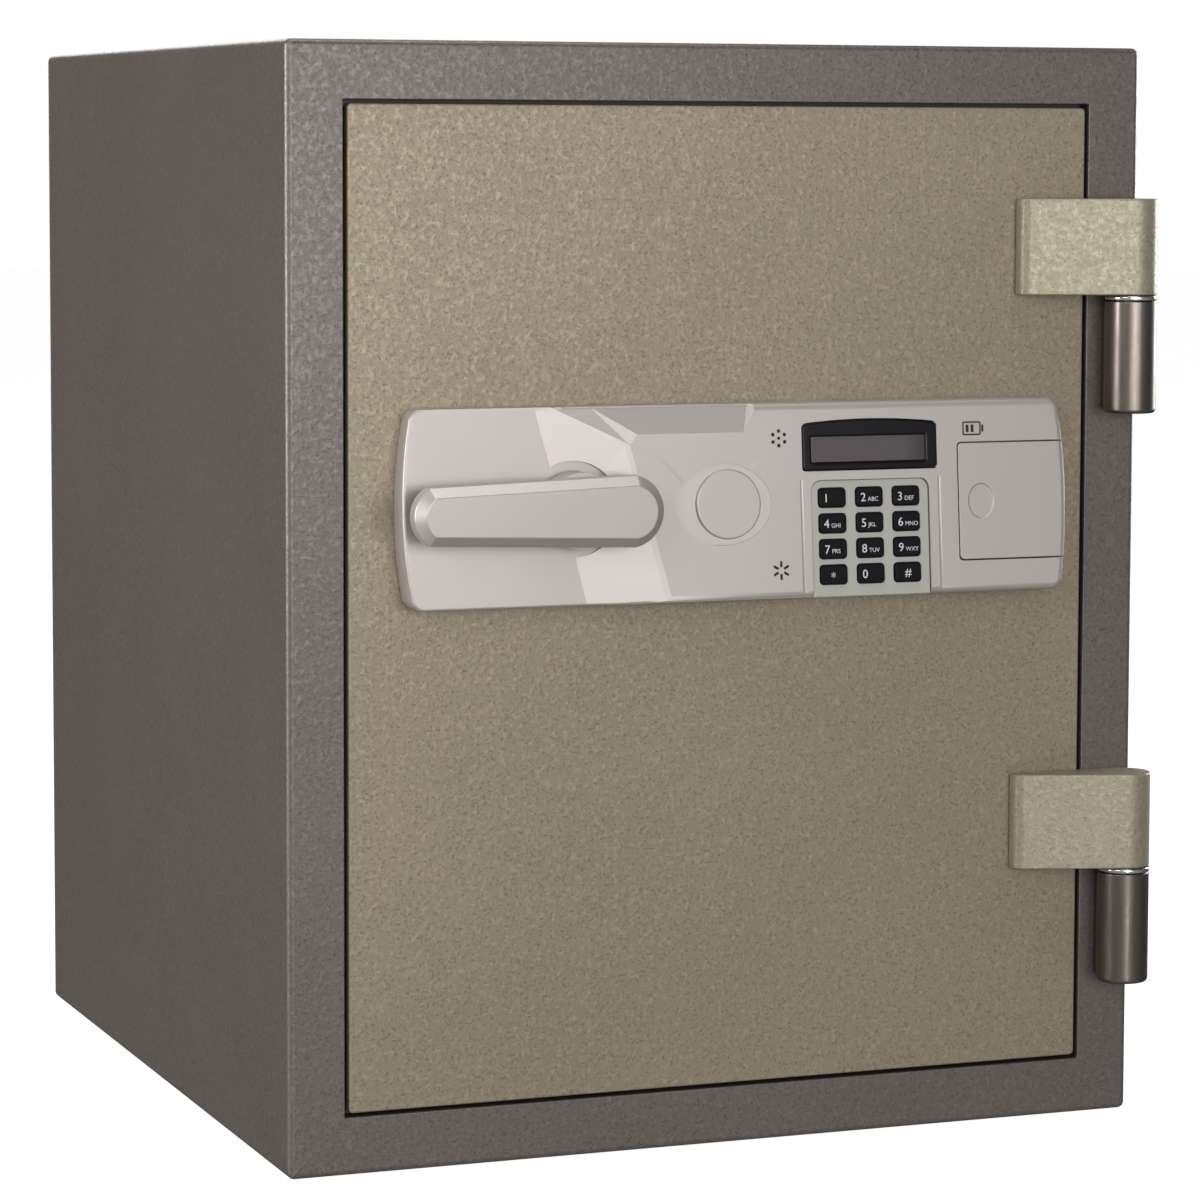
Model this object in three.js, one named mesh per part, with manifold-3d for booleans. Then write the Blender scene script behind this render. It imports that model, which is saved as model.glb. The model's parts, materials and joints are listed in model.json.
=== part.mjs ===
// In-room fire safe: a sheet-steel case filled with fire-resisting plaster, a hinged plug door,
// three live bolts worked by a lever handle, a keypad lock and an emergency key cylinder.
// Lengths are millimetres. The pieces are drawn in the safe's own front frame:
// x runs right from the case's left side, y runs back from the front face, z runs up from the base.
// The whole safe is then shifted so that the origin is the middle of the base, with the front at -Y.

import * as THREE from 'three';
import { mergeVertices } from 'three/addons/utils/BufferGeometryUtils.js';
import Module from 'manifold-3d';

const wasm = await Module();
wasm.setup();

// ---------------------------------------------------------------- driving dimensions

const fit = 0.3;                 // clearance between neighbouring pieces

const caseWidth = 430;
const caseHeight = 520;
const caseDepth = 450;
const caseSheet = 1.5;
const caseCorner = 3.5;          // rounding of the case between its walls
const caseEdge = 3;              // rounding of its front and back edges
const backThickness = 3;

const rimWidth = 27;             // front rim around the door
const doorGap = 2;
const jambSheet = 1.5;
const jambStep = 7;              // the jamb narrows by this much behind the seal
const jambStepDepth = 10;
const jambDepth = 68;            // depth of the pocket that the door fills

const wallThickness = 45;        // case outside to liner outside
const linerSheet = 1.2;
const shelfHeight = 262;
const shelfSheet = 1.5;
const shelfLip = 14;
const shelfRail = 6;             // ledge along each side that carries the shelf
const shelfRailHeight = 4;
const shelfRailInset = 20;

const anchorSpread = 200;        // between the two floor anchor holes
const anchorRadius = 6;

const doorPlate = 5;             // thickness of the door's front plate
const doorEdge = 1.5;
const trayLeft = 43;
const trayRight = 389;
const trayBottom = 41;
const trayTop = 479;
const trayDepth = 62;            // inner face of the door, behind the front face
const traySheet = 1.2;
const sealToTray = 2.5;
const doorFillDepth = 33;
const coverThickness = 3.5;

const hingeX = 420;
const hingeY = -13;              // the hinge axis stands this far in front of the rim
const barrelRadius = 12.5;
const pinRadius = 4;
const hingeLevels = { lower: 67.1, upper: 344.7 };   // bottom of each barrel
const barrelHeight = 54;
const washerHeight = 2.4;
const hingeBlockHeight = 46;
const hingeBlockLeft = 364;
const hingeBlockTip = 8;         // thickness at its free end; it thickens towards the barrel
const hingeBlockCorner = 6;

const boltLevels = [150, 260, 370];
const boltRadius = 7.5;
const boltDepth = 51.3;          // bolt axis behind the front face
const boltLength = 48;
const boltThrow = 16;
const boltSocket = 22;           // depth of the hole behind the jamb that takes a thrown bolt
const deadBoltLevels = { lower: 150, upper: 370 };

const panelLeft = 55.2;
const panelRight = 381;
const panelBottom = 261.2;
const panelTop = 352.8;
const panelLow = 13.7;           // thickness at the handle end, halfway up
const panelHigh = 18.5;          // thickness at the keypad end, halfway up
const panelMiddle = 308;         // height at which those thicknesses hold
const panelSlope = 0.0046;       // the panel is a wedge: thicker below that height, thinner above
const panelCorner = 6;
const panelEdge = 2;
const panelBulgeLeft = 4.5;
const panelBulgeRight = 3.4;
const panelSideHeights = [284, 307, 330];            // points of the bulging ends

const handleX = 132.5;
const handleZ = 306;
const handleBack = -28;
const handleFront = -40;
const handleChamfer = 4.5;
const spindleRadius = 5;
const camRadius = 17;
const camPinRadius = 3;
const camPinOrbit = boltThrow / Math.SQRT2;          // a quarter turn moves the pin by the throw

const lockX = 208.3;             // emergency key cylinder
const lockZ = 306.5;
const capRadius = 16.2;
const releaseLift = 5;
const releaseOrbit = releaseLift / Math.SQRT2;

const keyColumns = [261, 280.1, 299.1];
const keyRows = [308.1, 296.1, 284.1, 272.1];
const keyNames = ['1', '2', '3', '4', '5', '6', '7', '8', '9', 'star', '0', 'hash'];
const keyWidth = 13.9;
const keyHeight = 9.1;
const keyBack = -9.6;
const keyFront = -18.9;

const cableX = 280;              // cable hole from the lock panel into the door
const cableZ = 335;
const cableRadius = 5;

const cellRadius = 5.2;
const cellLength = 43;
const cellNubRadius = 1.9;
const cellY = -8;
const cellPitch = 11.8;
const firstCellX = 333.5;

// ---------------------------------------------------------------- colours and finishes

const finishes = {
  casePaint: { color: 0x6b6762, roughness: 0.5, metalness: 0.2 },
  doorPaint: { color: 0x8a826e, roughness: 0.45, metalness: 0.2 },
  linerPaint: { color: 0xb9b6ae, roughness: 0.6, metalness: 0.1 },
  plaster: { color: 0xd8d2c4, roughness: 0.95, metalness: 0 },
  bareSteel: { color: 0x8d8f92, roughness: 0.35, metalness: 0.9 },
  barrelSteel: { color: 0x4c4a47, roughness: 0.35, metalness: 0.6 },
  chrome: { color: 0xd9dadd, roughness: 0.1, metalness: 1 },
  brass: { color: 0xb59a55, roughness: 0.3, metalness: 0.9 },
  panelPlastic: { color: 0xb5aea9, roughness: 0.4, metalness: 0.2 },
  handlePlastic: { color: 0xbeb8b4, roughness: 0.35, metalness: 0.3 },
  keypadPlastic: { color: 0xc8c8be, roughness: 0.5, metalness: 0 },
  keyRubber: { color: 0x191623, roughness: 0.6, metalness: 0 },
  rubber: { color: 0x1c1c1c, roughness: 0.9, metalness: 0 },
  bezel: { color: 0x281e2d, roughness: 0.2, metalness: 0 },
  displayGlass: { color: 0x5f5856, roughness: 0.1, metalness: 0 },
  circuit: { color: 0x1e5a38, roughness: 0.5, metalness: 0 },
  cell: { color: 0x35506e, roughness: 0.35, metalness: 0.2 },
};

// ---------------------------------------------------------------- outlines

// A closed outline from corners [u, v, radius]; a corner with a radius becomes an arc of four steps.
function filleted(corners, steps = 4) {
  const outline = [];
  corners.forEach(([u, v, radius], i) => {
    const corner = new THREE.Vector2(u, v);
    if (!radius) {
      outline.push(corner);
      return;
    }
    const [previousU, previousV] = corners.at(i - 1);
    const [nextU, nextV] = corners[(i + 1) % corners.length];
    const before = new THREE.Vector2(previousU, previousV).sub(corner).normalize();
    const after = new THREE.Vector2(nextU, nextV).sub(corner).normalize();
    const half = Math.acos(THREE.MathUtils.clamp(before.dot(after), -1, 1)) / 2;
    const bisector = before.clone().add(after).normalize();
    const centre = bisector.multiplyScalar(radius / Math.sin(half)).add(corner);
    const start = before.multiplyScalar(radius / Math.tan(half)).add(corner).sub(centre);
    const end = after.multiplyScalar(radius / Math.tan(half)).add(corner).sub(centre);
    const sweep = Math.atan2(start.cross(end), start.dot(end));
    for (let step = 0; step <= steps; step++) {
      const turned = start.clone().rotateAround(new THREE.Vector2(), (sweep * step) / steps);
      outline.push(turned.add(centre));
    }
  });
  return outline;
}

function roundedRectangle(left, right, bottom, top, radius, steps) {
  const corners = [[left, bottom], [right, bottom], [right, top], [left, top]];
  return filleted(corners.map((corner) => [...corner, radius]), steps);
}

function circle(u, v, radius, sides = 24) {
  const outline = [];
  for (let i = 0; i < sides; i++) {
    const angle = (2 * Math.PI * i) / sides;
    outline.push(new THREE.Vector2(u + radius * Math.cos(angle), v + radius * Math.sin(angle)));
  }
  return outline;
}

// The same outline moved inwards, for a counter-clockwise outline.
function inset(outline, distance) {
  const inward = (from, to) => new THREE.Vector2(from.y - to.y, to.x - from.x).normalize();
  return outline.map((point, i) => {
    const before = inward(outline.at(i - 1), point);
    const after = inward(point, outline[(i + 1) % outline.length]);
    const middle = before.clone().add(after).normalize();
    return middle.multiplyScalar(distance / middle.dot(before)).add(point);
  });
}

// ---------------------------------------------------------------- solids

const drawnFromFront = (u, v, at) => [u, at, v];
const drawnFromAbove = (u, v, at) => [u, v, at];
const drawnFromSide = (u, v, at) => [at, u, v];

// A closed solid through a row of outlines with equal point counts.
function stack(levels, place) {
  const count = levels[0].outline.length;
  const positions = levels.flatMap(({ outline, at }) => outline.flatMap((p) => place(p.x, p.y, at)));
  const index = [];
  for (let row = 0; row < levels.length - 1; row++) {
    for (let i = 0; i < count; i++) {
      const a = row * count + i;
      const b = row * count + ((i + 1) % count);
      index.push(a, b, b + count, a, b + count, a + count);
    }
  }
  const last = (levels.length - 1) * count;
  for (const [a, b, c] of THREE.ShapeUtils.triangulateShape(levels[0].outline, [])) {
    index.push(a, c, b);
  }
  for (const [a, b, c] of THREE.ShapeUtils.triangulateShape(levels.at(-1).outline, [])) {
    index.push(last + a, last + b, last + c);
  }
  const geometry = new THREE.BufferGeometry();
  geometry.setAttribute('position', new THREE.Float32BufferAttribute(positions, 3));
  geometry.setIndex(index);
  return facingOut(geometry);
}

function facingOut(geometry) {
  const corner = [new THREE.Vector3(), new THREE.Vector3(), new THREE.Vector3()];
  const index = geometry.index.array;
  let volume = 0;
  for (let i = 0; i < index.length; i += 3) {
    corner.forEach((vector, k) => vector.fromBufferAttribute(geometry.attributes.position, index[i + k]));
    volume += corner[0].dot(corner[1].cross(corner[2]));
  }
  if (volume < 0) {
    geometry.setIndex(Array.from(index).reverse());
  }
  return geometry;
}

function prism(outline, from, to, place) {
  return stack([{ outline, at: from }, { outline, at: to }], place);
}

// A prism whose end at `to` has a rounded edge.
function softPrism(outline, from, to, edge, place, steps = 3) {
  const levels = [{ outline, at: from }];
  const direction = Math.sign(to - from);
  for (let step = 0; step <= steps; step++) {
    const angle = (Math.PI / 2) * (step / steps);
    const at = to - direction * edge * (1 - Math.sin(angle));
    levels.push({ outline: inset(outline, edge * (1 - Math.cos(angle))), at });
  }
  return stack(levels, place);
}

function block(left, right, front, back, bottom, top) {
  const geometry = new THREE.BoxGeometry(right - left, back - front, top - bottom);
  return geometry.translate((left + right) / 2, (front + back) / 2, (bottom + top) / 2);
}

// Round bars along the three axes.
const bar = (place) => (u, v, radius, from, to, sides) => prism(circle(u, v, radius, sides), from, to, place);
const barAlongX = bar(drawnFromSide);
const barAlongY = bar(drawnFromFront);
const barAlongZ = bar(drawnFromAbove);

function toSolid(geometry) {
  const bare = geometry.clone();
  bare.deleteAttribute('normal');
  bare.deleteAttribute('uv');
  const merged = mergeVertices(bare, 1e-4);
  const vertProperties = new Float32Array(merged.attributes.position.array);
  const triVerts = new Uint32Array(merged.index.array);
  return new wasm.Manifold(new wasm.Mesh({ numProp: 3, vertProperties, triVerts }));
}

function toGeometry(solid) {
  const { vertProperties, triVerts } = solid.getMesh();
  const geometry = new THREE.BufferGeometry();
  geometry.setAttribute('position', new THREE.Float32BufferAttribute(vertProperties, 3));
  geometry.setIndex(new THREE.Uint32BufferAttribute(triVerts, 1));
  geometry.computeVertexNormals();
  return geometry;
}

function cut(body, ...tools) {
  return toGeometry(tools.reduce((solid, tool) => solid.subtract(toSolid(tool)), toSolid(body)));
}

function join(body, ...others) {
  return toGeometry(others.reduce((solid, other) => solid.add(toSolid(other)), toSolid(body)));
}

function common(body, other) {
  return toGeometry(toSolid(body).intersect(toSolid(other)));
}

// ---------------------------------------------------------------- cabinet

const openLeft = rimWidth;
const openRight = caseWidth - rimWidth;
const openBottom = rimWidth;
const openTop = caseHeight - rimWidth;
const pocketLeft = openLeft + jambStep;
const pocketRight = openRight - jambStep;
const pocketBottom = openBottom + jambStep;
const pocketTop = openTop - jambStep;
const linerLeft = wallThickness;
const linerRight = caseWidth - wallThickness;
const linerBottom = wallThickness;
const linerTop = caseHeight - wallThickness;
const linerFront = jambDepth + jambSheet + fit;
const linerBack = caseDepth - wallThickness;
const anchorY = caseDepth / 2 + 20;
const anchorPlaces = { left: (caseWidth - anchorSpread) / 2, right: (caseWidth + anchorSpread) / 2 };
const anchorHoles = Object.values(anchorPlaces).map(
  (x) => barAlongZ(x, anchorY, anchorRadius, -1, linerBottom + 5));

// The folded case: four walls and the front rim in one, open at the back.
function outerCase() {
  const outline = roundedRectangle(0, caseWidth, 0, caseHeight, caseCorner, 3);
  const folded = softPrism(outline, caseDepth - backThickness - fit, 0, caseEdge, drawnFromFront);
  const inside = block(
    caseSheet, caseWidth - caseSheet, caseSheet, caseDepth, caseSheet, caseHeight - caseSheet);
  const opening = block(openLeft, openRight, -1, caseSheet + 1, openBottom, openTop);
  return cut(folded, inside, opening, ...anchorHoles);
}

function backPanel() {
  const outline = roundedRectangle(0, caseWidth, 0, caseHeight, caseCorner, 3);
  return softPrism(outline, caseDepth - backThickness, caseDepth, caseEdge - fit, drawnFromFront);
}

// The stepped sheet-steel frame that lines the door pocket, with holes for the bolts.
function doorJamb() {
  const front = caseSheet + fit;
  const step = jambStepDepth;
  const s = jambSheet;
  const mouth = block(openLeft - s, openRight + s, front, step + s, openBottom - s, openTop + s);
  const sleeve = block(pocketLeft - s, pocketRight + s, step, jambDepth + s, pocketBottom - s, pocketTop + s);
  const mouthSpace = block(openLeft, openRight, 0, step, openBottom, openTop);
  const sleeveSpace = block(pocketLeft, pocketRight, step - 1, jambDepth, pocketBottom, pocketTop);
  const cabinMouth = block(
    linerLeft + s, linerRight - s, jambDepth - 1, jambDepth + s + 1, linerBottom + s, linerTop - s);
  const boltHoles = boltLevels.map(
    (z) => barAlongX(boltDepth, z, boltRadius + 1.5, pocketLeft - s - 1, pocketLeft + 1));
  const lugSlots = Object.values(deadBoltLevels).map(
    (z) => deadBoltPocket(z, pocketRight - 1, pocketRight + s + 1));
  return cut(join(mouth, sleeve), mouthSpace, sleeveSpace, cabinMouth, ...boltHoles, ...lugSlots);
}

const deadBoltHalfHeight = 20;
const deadBoltFront = 44;
const deadBoltBack = 54;
const deadBoltTip = 404;

// Room for a fixed lug, with space in front of it for the door's swing.
function deadBoltPocket(z, left, right) {
  const reach = deadBoltHalfHeight + 2;
  return block(left, right, deadBoltFront - 4, deadBoltBack + 2, z - reach, z + reach);
}

// The fire-resisting filling, cast in one piece between the case and the liner.
function fireFilling() {
  const s = caseSheet + fit;
  const gap = jambSheet + fit;
  const body = block(s, caseWidth - s, s, caseDepth - backThickness - fit, s, caseHeight - s);
  const mouth = block(
    openLeft - gap, openRight + gap, 0, jambStepDepth + gap, openBottom - gap, openTop + gap);
  const pocket = block(
    pocketLeft - gap, pocketRight + gap, 0, jambDepth + gap + fit, pocketBottom - gap, pocketTop + gap);
  const cabin = block(
    linerLeft - fit, linerRight + fit, jambDepth, linerBack + fit, linerBottom - fit, linerTop + fit);
  const sockets = boltLevels.map(
    (z) => barAlongX(boltDepth, z, boltRadius + 2, pocketLeft - boltSocket, pocketLeft));
  const lugPockets = Object.values(deadBoltLevels).map(
    (z) => deadBoltPocket(z, pocketRight, deadBoltTip + 4));
  return cut(body, mouth, pocket, cabin, ...sockets, ...lugPockets, ...anchorHoles);
}

// The cabin's steel liner, open at the front, with a rail along each side for the shelf.
function innerLiner() {
  const s = linerSheet;
  const shell = block(linerLeft, linerRight, linerFront, linerBack, linerBottom, linerTop);
  const cabin = block(
    linerLeft + s, linerRight - s, linerFront - 1, linerBack - s, linerBottom + s, linerTop - s);
  const railTop = shelfHeight - fit;
  const railBottom = railTop - shelfRailHeight;
  const railFront = linerFront + shelfRailInset;
  const railBack = linerBack - s - shelfRailInset;
  const leftRail = block(
    linerLeft + s / 2, linerLeft + s + shelfRail, railFront, railBack, railBottom, railTop);
  const rightRail = block(
    linerRight - s - shelfRail, linerRight - s / 2, railFront, railBack, railBottom, railTop);
  return cut(join(cut(shell, cabin), leftRail, rightRail), ...anchorHoles);
}

// A folded steel shelf with a lip along its front edge.
function shelf() {
  const left = linerLeft + linerSheet + 0.6;
  const right = linerRight - linerSheet - 0.6;
  const front = linerFront + 14;
  const back = linerBack - linerSheet - 2;
  const plate = block(left, right, front, back, shelfHeight, shelfHeight + shelfSheet);
  const lip = block(
    left + 8, right - 8, front, front + shelfSheet, shelfHeight - shelfLip, shelfHeight + shelfSheet / 2);
  return join(plate, lip);
}

// A rubber plug that closes a floor anchor hole until it is used.
function anchorPlug(x) {
  const floor = linerBottom + linerSheet;
  const stem = barAlongZ(x, anchorY, anchorRadius - 0.5, 0.4, floor + 1, 20);
  const head = barAlongZ(x, anchorY, anchorRadius + 5, floor + fit, floor + 2.5);
  return join(stem, head);
}

// ---------------------------------------------------------------- hinges

const washerBottom = (level) => hingeLevels[level] + barrelHeight + fit;
const blockBottom = (level) => washerBottom(level) + washerHeight + fit;
const hingeBoreRadius = pinRadius + 0.4;
const hingeBoreFloor = 6;        // solid metal left below the pin in the barrel
const pinReach = 28;             // how far the pin enters the block
const barrelFootLeft = 9;
const barrelFootRight = 7;

// The fixed half: a round barrel with a foot that is welded to the rim.
function hingeBarrel(level) {
  const bottom = hingeLevels[level];
  const top = bottom + barrelHeight;
  const outline = circle(hingeX, hingeY, barrelRadius, 32);
  const barrel = stack([
    { outline: inset(outline, 2), at: bottom },
    { outline: inset(outline, 0.6), at: bottom + 0.6 },
    { outline, at: bottom + 2 },
    { outline, at: top },
  ], drawnFromAbove);
  const foot = block(
    hingeX - barrelFootLeft, hingeX + barrelFootRight, hingeY, -fit, bottom + 3, top - 3);
  const bore = barAlongZ(hingeX, hingeY, hingeBoreRadius, bottom + hingeBoreFloor, top + 1);
  return cut(join(barrel, foot), bore);
}

function hingePin(level) {
  const bottom = hingeLevels[level] + hingeBoreFloor + fit;
  const top = blockBottom(level) + pinReach;
  return barAlongZ(hingeX, hingeY, pinRadius, bottom, top, 20);
}

function hingeWasher(level) {
  const bottom = washerBottom(level);
  const ring = barAlongZ(hingeX, hingeY, barrelRadius + 0.2, bottom, bottom + washerHeight, 32);
  const bore = barAlongZ(hingeX, hingeY, hingeBoreRadius, bottom - 1, bottom + washerHeight + 1);
  return cut(ring, bore);
}

// The door's half: a cast lug that tapers from the barrel towards the door's middle.
function hingeBlock(level) {
  const bottom = blockBottom(level);
  const top = bottom + hingeBlockHeight;
  const back = hingeY + barrelRadius;
  const toAxis = new THREE.Vector2(hingeX - hingeBlockLeft, hingeY + hingeBlockTip);
  const slope = Math.atan2(toAxis.y, toAxis.x) - Math.asin(barrelRadius / toAxis.length());
  const outline = filleted([
    [hingeBlockLeft, back, 0],
    [hingeBlockLeft, -hingeBlockTip, hingeBlockCorner],
    [hingeX + barrelRadius * Math.sin(slope), hingeY - barrelRadius * Math.cos(slope), 0],
  ]);
  const arcSteps = 12;
  const arcStart = slope - Math.PI / 2;
  for (let step = 1; step <= arcSteps; step++) {
    const angle = arcStart + (Math.PI / 2 - arcStart) * (step / arcSteps);
    const onBarrel = new THREE.Vector2(Math.cos(angle), Math.sin(angle)).multiplyScalar(barrelRadius);
    outline.push(onBarrel.add(new THREE.Vector2(hingeX, hingeY)));
  }
  const lug = stack([
    { outline: inset(outline, 0.8), at: bottom },
    { outline, at: bottom + 0.8 },
    { outline, at: top - 2 },
    { outline: inset(outline, 0.6), at: top - 0.6 },
    { outline: inset(outline, 2), at: top },
  ], drawnFromAbove);
  return cut(lug, barAlongZ(hingeX, hingeY, hingeBoreRadius, bottom - 1, bottom + pinReach + 1));
}

// ---------------------------------------------------------------- door

const spindleHole = (from, to) => barAlongY(handleX, handleZ, spindleRadius + 2, from, to);
const cylinderHole = (from, to) => barAlongY(lockX, lockZ, 10.5, from, to);
const cableHole = (from, to) => barAlongY(cableX, cableZ, cableRadius, from, to, 16);

function doorFace() {
  const gap = rimWidth + doorGap;
  const outline = roundedRectangle(gap, caseWidth - gap, gap, caseHeight - gap, 2, 2);
  const plate = softPrism(outline, doorPlate, 0, doorEdge, drawnFromFront, 2);
  return cut(plate, spindleHole(-1, 9), cylinderHole(-1, 9), cableHole(-1, 9));
}

// A rubber-faced fire seal behind the plate's edge; it closes on the jamb's step.
function doorSeal() {
  const front = doorPlate + fit;
  const back = jambStepDepth - 0.5;
  const margin = rimWidth + doorGap + doorEdge;
  const outer = block(margin, caseWidth - margin, front, back, margin, caseHeight - margin);
  const inner = block(
    trayLeft - sealToTray, trayRight + sealToTray, front - 1, back + 1,
    trayBottom - sealToTray, trayTop + sealToTray);
  return cut(outer, inner);
}

const accessLeft = 54;
const accessRight = 330;
const accessBottom = 92;
const accessTop = 428;
const coverLeft = 50;
const coverRight = 370;
const coverBottom = 68;
const coverTop = 452;

// The folded tray that forms the plug, open to the front, with an access opening in its inner face.
function doorTray() {
  const s = traySheet;
  const shell = block(trayLeft, trayRight, doorPlate + fit, trayDepth, trayBottom, trayTop);
  const inside = block(trayLeft + s, trayRight - s, 0, trayDepth - s, trayBottom + s, trayTop - s);
  const access = block(accessLeft, accessRight, trayDepth - 5, trayDepth + 1, accessBottom, accessTop);
  const boltHoles = boltLevels.map(
    (z) => barAlongX(boltDepth, z, boltRadius + 0.8, trayLeft - 1, trayLeft + s + 1));
  const lugHoles = Object.values(deadBoltLevels).map((z) => block(
    trayRight - s - 1, trayRight + 1, deadBoltFront - 0.5, deadBoltBack + 0.5,
    z - deadBoltHalfHeight - 0.5, z + deadBoltHalfHeight + 0.5));
  return cut(shell, inside, access, ...boltHoles, ...lugHoles);
}

function doorFilling() {
  const gap = traySheet + fit;
  const slab = block(
    trayLeft + gap, trayRight - gap, doorPlate + fit, doorFillDepth, trayBottom + gap, trayTop - gap);
  return cut(slab, spindleHole(0, 40), cylinderHole(0, 40), cableHole(0, 40));
}

// The cover over the bolt work, seen when the door is open.
function innerCover() {
  const outline = roundedRectangle(coverLeft, coverRight, coverBottom, coverTop, 8, 3);
  const front = trayDepth + fit;
  return softPrism(outline, front, front + coverThickness, 1.5, drawnFromFront, 2);
}

function deadBolt(z) {
  return block(
    trayRight - 14, deadBoltTip, deadBoltFront, deadBoltBack, z - deadBoltHalfHeight, z + deadBoltHalfHeight);
}

const chassisFront = doorFillDepth + fit;
const chassisBack = chassisFront + 1.7;
const chassisLeft = 58;
const chassisRight = 300;
const chassisBottom = 120;
const chassisTop = 400;
const tailRadius = 7.5;          // disc at the inner end of the emergency lock's plug

// The steel plate that carries the bolt work.
function boltChassis() {
  const plate = block(chassisLeft, chassisRight, chassisFront, chassisBack, chassisBottom, chassisTop);
  const tailHole = barAlongY(lockX, lockZ, tailRadius + 0.5, 30, 40);
  return cut(plate, spindleHole(30, 40), tailHole, cableHole(30, 40));
}

// ---------------------------------------------------------------- bolt work

const camFront = chassisBack + 0.8;
const camBack = camFront + 3;
const carriageFront = camBack + 1;
const carriageBack = carriageFront + 3;
const camPinX = handleX + camPinOrbit * Math.SQRT1_2;
const camPinZ = handleZ + camPinOrbit * Math.SQRT1_2;
const carriageLeft = 66;
const carriageRight = 88;        // right side of the upright bar behind the bolts
const carriageBottom = 130;
const carriageTop = 390;
const armRight = 156;            // the arm reaches past the cam
const armBottom = 292;
const fingerRight = 216;
const fingerBottom = 330;
const fingerTop = 340;

// The sliding plate: a bar behind the three bolts, an arm with the cam's slot and a locking finger.
function boltCarriage() {
  const outline = filleted([
    [carriageLeft, carriageBottom, 3], [carriageRight, carriageBottom, 3], [carriageRight, armBottom, 3],
    [armRight, armBottom, 3], [armRight, fingerBottom, 3], [fingerRight, fingerBottom, 2],
    [fingerRight, fingerTop, 2], [carriageRight, fingerTop, 3], [carriageRight, carriageTop, 3],
    [carriageLeft, carriageTop, 3],
  ], 2);
  const plate = prism(outline, carriageFront, carriageBack, drawnFromFront);
  const play = camPinRadius + 0.75;
  const lowest = handleZ + camPinOrbit * Math.SQRT1_2 - play;
  const highest = handleZ + camPinOrbit + play;
  const slot = block(camPinX - play, camPinX + play, carriageFront - 1, carriageBack + 1, lowest, highest);
  return cut(plate, slot);
}

function liveBolt() {
  const outline = circle(0, 0, boltRadius);
  return softPrism(outline, boltLength, 0, 1.5, drawnFromSide, 2);
}

// The disc on the spindle's end, with the pin that drives the carriage.
function handleCam() {
  const disc = barAlongY(handleX, handleZ, camRadius, camFront, camBack);
  const pin = barAlongY(camPinX, camPinZ, camPinRadius, camBack - 1, carriageBack + 3, 16);
  return join(disc, pin);
}

const plungerX = lockX;
const plungerY = (carriageFront + carriageBack) / 2;
const plungerRadius = 3;
const solenoidBottom = 352;
const solenoidTop = 384;
const solenoidWidth = 22;
const stripHalfWidth = 9;
const releasePinRadius = 1.5;

function solenoidBody() {
  const half = solenoidWidth / 2;
  const box = block(
    plungerX - half, plungerX + half, chassisBack + fit, plungerY + 8, solenoidBottom, solenoidTop);
  return cut(box, barAlongZ(plungerX, plungerY, plungerRadius + 0.5, solenoidBottom - 1, solenoidTop + 1));
}

// The plunger that drops behind the carriage's finger, with the strip by which the key lifts it.
function solenoidPlunger() {
  const stripFront = carriageBack + 0.6;
  const stripBack = stripFront + 2;
  const shaft = barAlongZ(plungerX, plungerY, plungerRadius, fingerTop + fit, solenoidBottom + 24, 16);
  const stripTop = solenoidBottom - 7;
  const strip = block(
    plungerX - stripHalfWidth, plungerX + stripHalfWidth, stripFront, stripBack, lockZ - 9, stripTop);
  const bridge = block(plungerX - 2, plungerX + 2, plungerY, stripBack, fingerTop + 1, stripTop);
  const pinZ = lockZ - releaseLift / 2;
  const play = releasePinRadius + 0.4;
  const slot = block(
    plungerX - 0.5, plungerX + 6.5, stripFront - 1, stripBack + 1, pinZ - play, pinZ + play);
  return cut(join(shaft, strip, bridge), slot);
}

// ---------------------------------------------------------------- emergency lock

const cylinderRadius = 9.5;
const plugRadius = 6;
const cylinderFront = -15.5;
const keywayHalfWidth = 0.8;
const keywayHalfHeight = 3.6;
const keywayDepth = 14;

function keyCylinder() {
  const tube = barAlongY(lockX, lockZ, cylinderRadius, cylinderFront, 30);
  return cut(tube, barAlongY(lockX, lockZ, plugRadius + 0.4, cylinderFront - 1, 31));
}

// The turning plug with its key slot, its tail disc and the pin that lifts the plunger.
function keyPlug() {
  const plug = barAlongY(lockX, lockZ, plugRadius, cylinderFront + 0.6, camBack);
  const tail = barAlongY(lockX, lockZ, tailRadius, camFront, camBack);
  const pinX = lockX + releaseOrbit * Math.SQRT1_2;
  const pinZ = lockZ - releaseOrbit * Math.SQRT1_2;
  const pin = barAlongY(pinX, pinZ, releasePinRadius, camBack - 1, carriageBack + 4, 12);
  const keyway = block(
    lockX - keywayHalfWidth, lockX + keywayHalfWidth, cylinderFront - 1, cylinderFront + keywayDepth,
    lockZ - keywayHalfHeight, lockZ + keywayHalfHeight);
  return cut(join(plug, tail, pin), keyway);
}

const dishDepth = 1.6;
const dishX = lockX - 2.4;        // the shallow dish around the cap is deeper towards the handle
const dishHalfWidth = 24;
const dishHalfHeight = 19;

// The round cap over the key cylinder.
function keyCap() {
  const outline = circle(lockX, lockZ, capRadius, 32);
  const back = -panelHigh + dishDepth - fit;
  return wedge(softPrism(outline, back, -panelHigh - 0.6, 0.8, drawnFromFront, 2));
}

// ---------------------------------------------------------------- lock panel

// Everything in the panel is drawn as if its thickness were even, then leant to the wedge shape.
function wedge(geometry) {
  const { position } = geometry.attributes;
  for (let i = 0; i < position.count; i++) {
    position.setY(i, position.getY(i) * (1 + panelSlope * (panelMiddle - position.getZ(i))));
  }
  geometry.computeVertexNormals();
  return geometry;
}

const sideBulge = (edge, bulge, z) => {
  const half = (panelTop - panelBottom) / 2;
  const offset = (z - panelBottom - half) / half;
  return edge + bulge * (1 - offset * offset);
};

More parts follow.
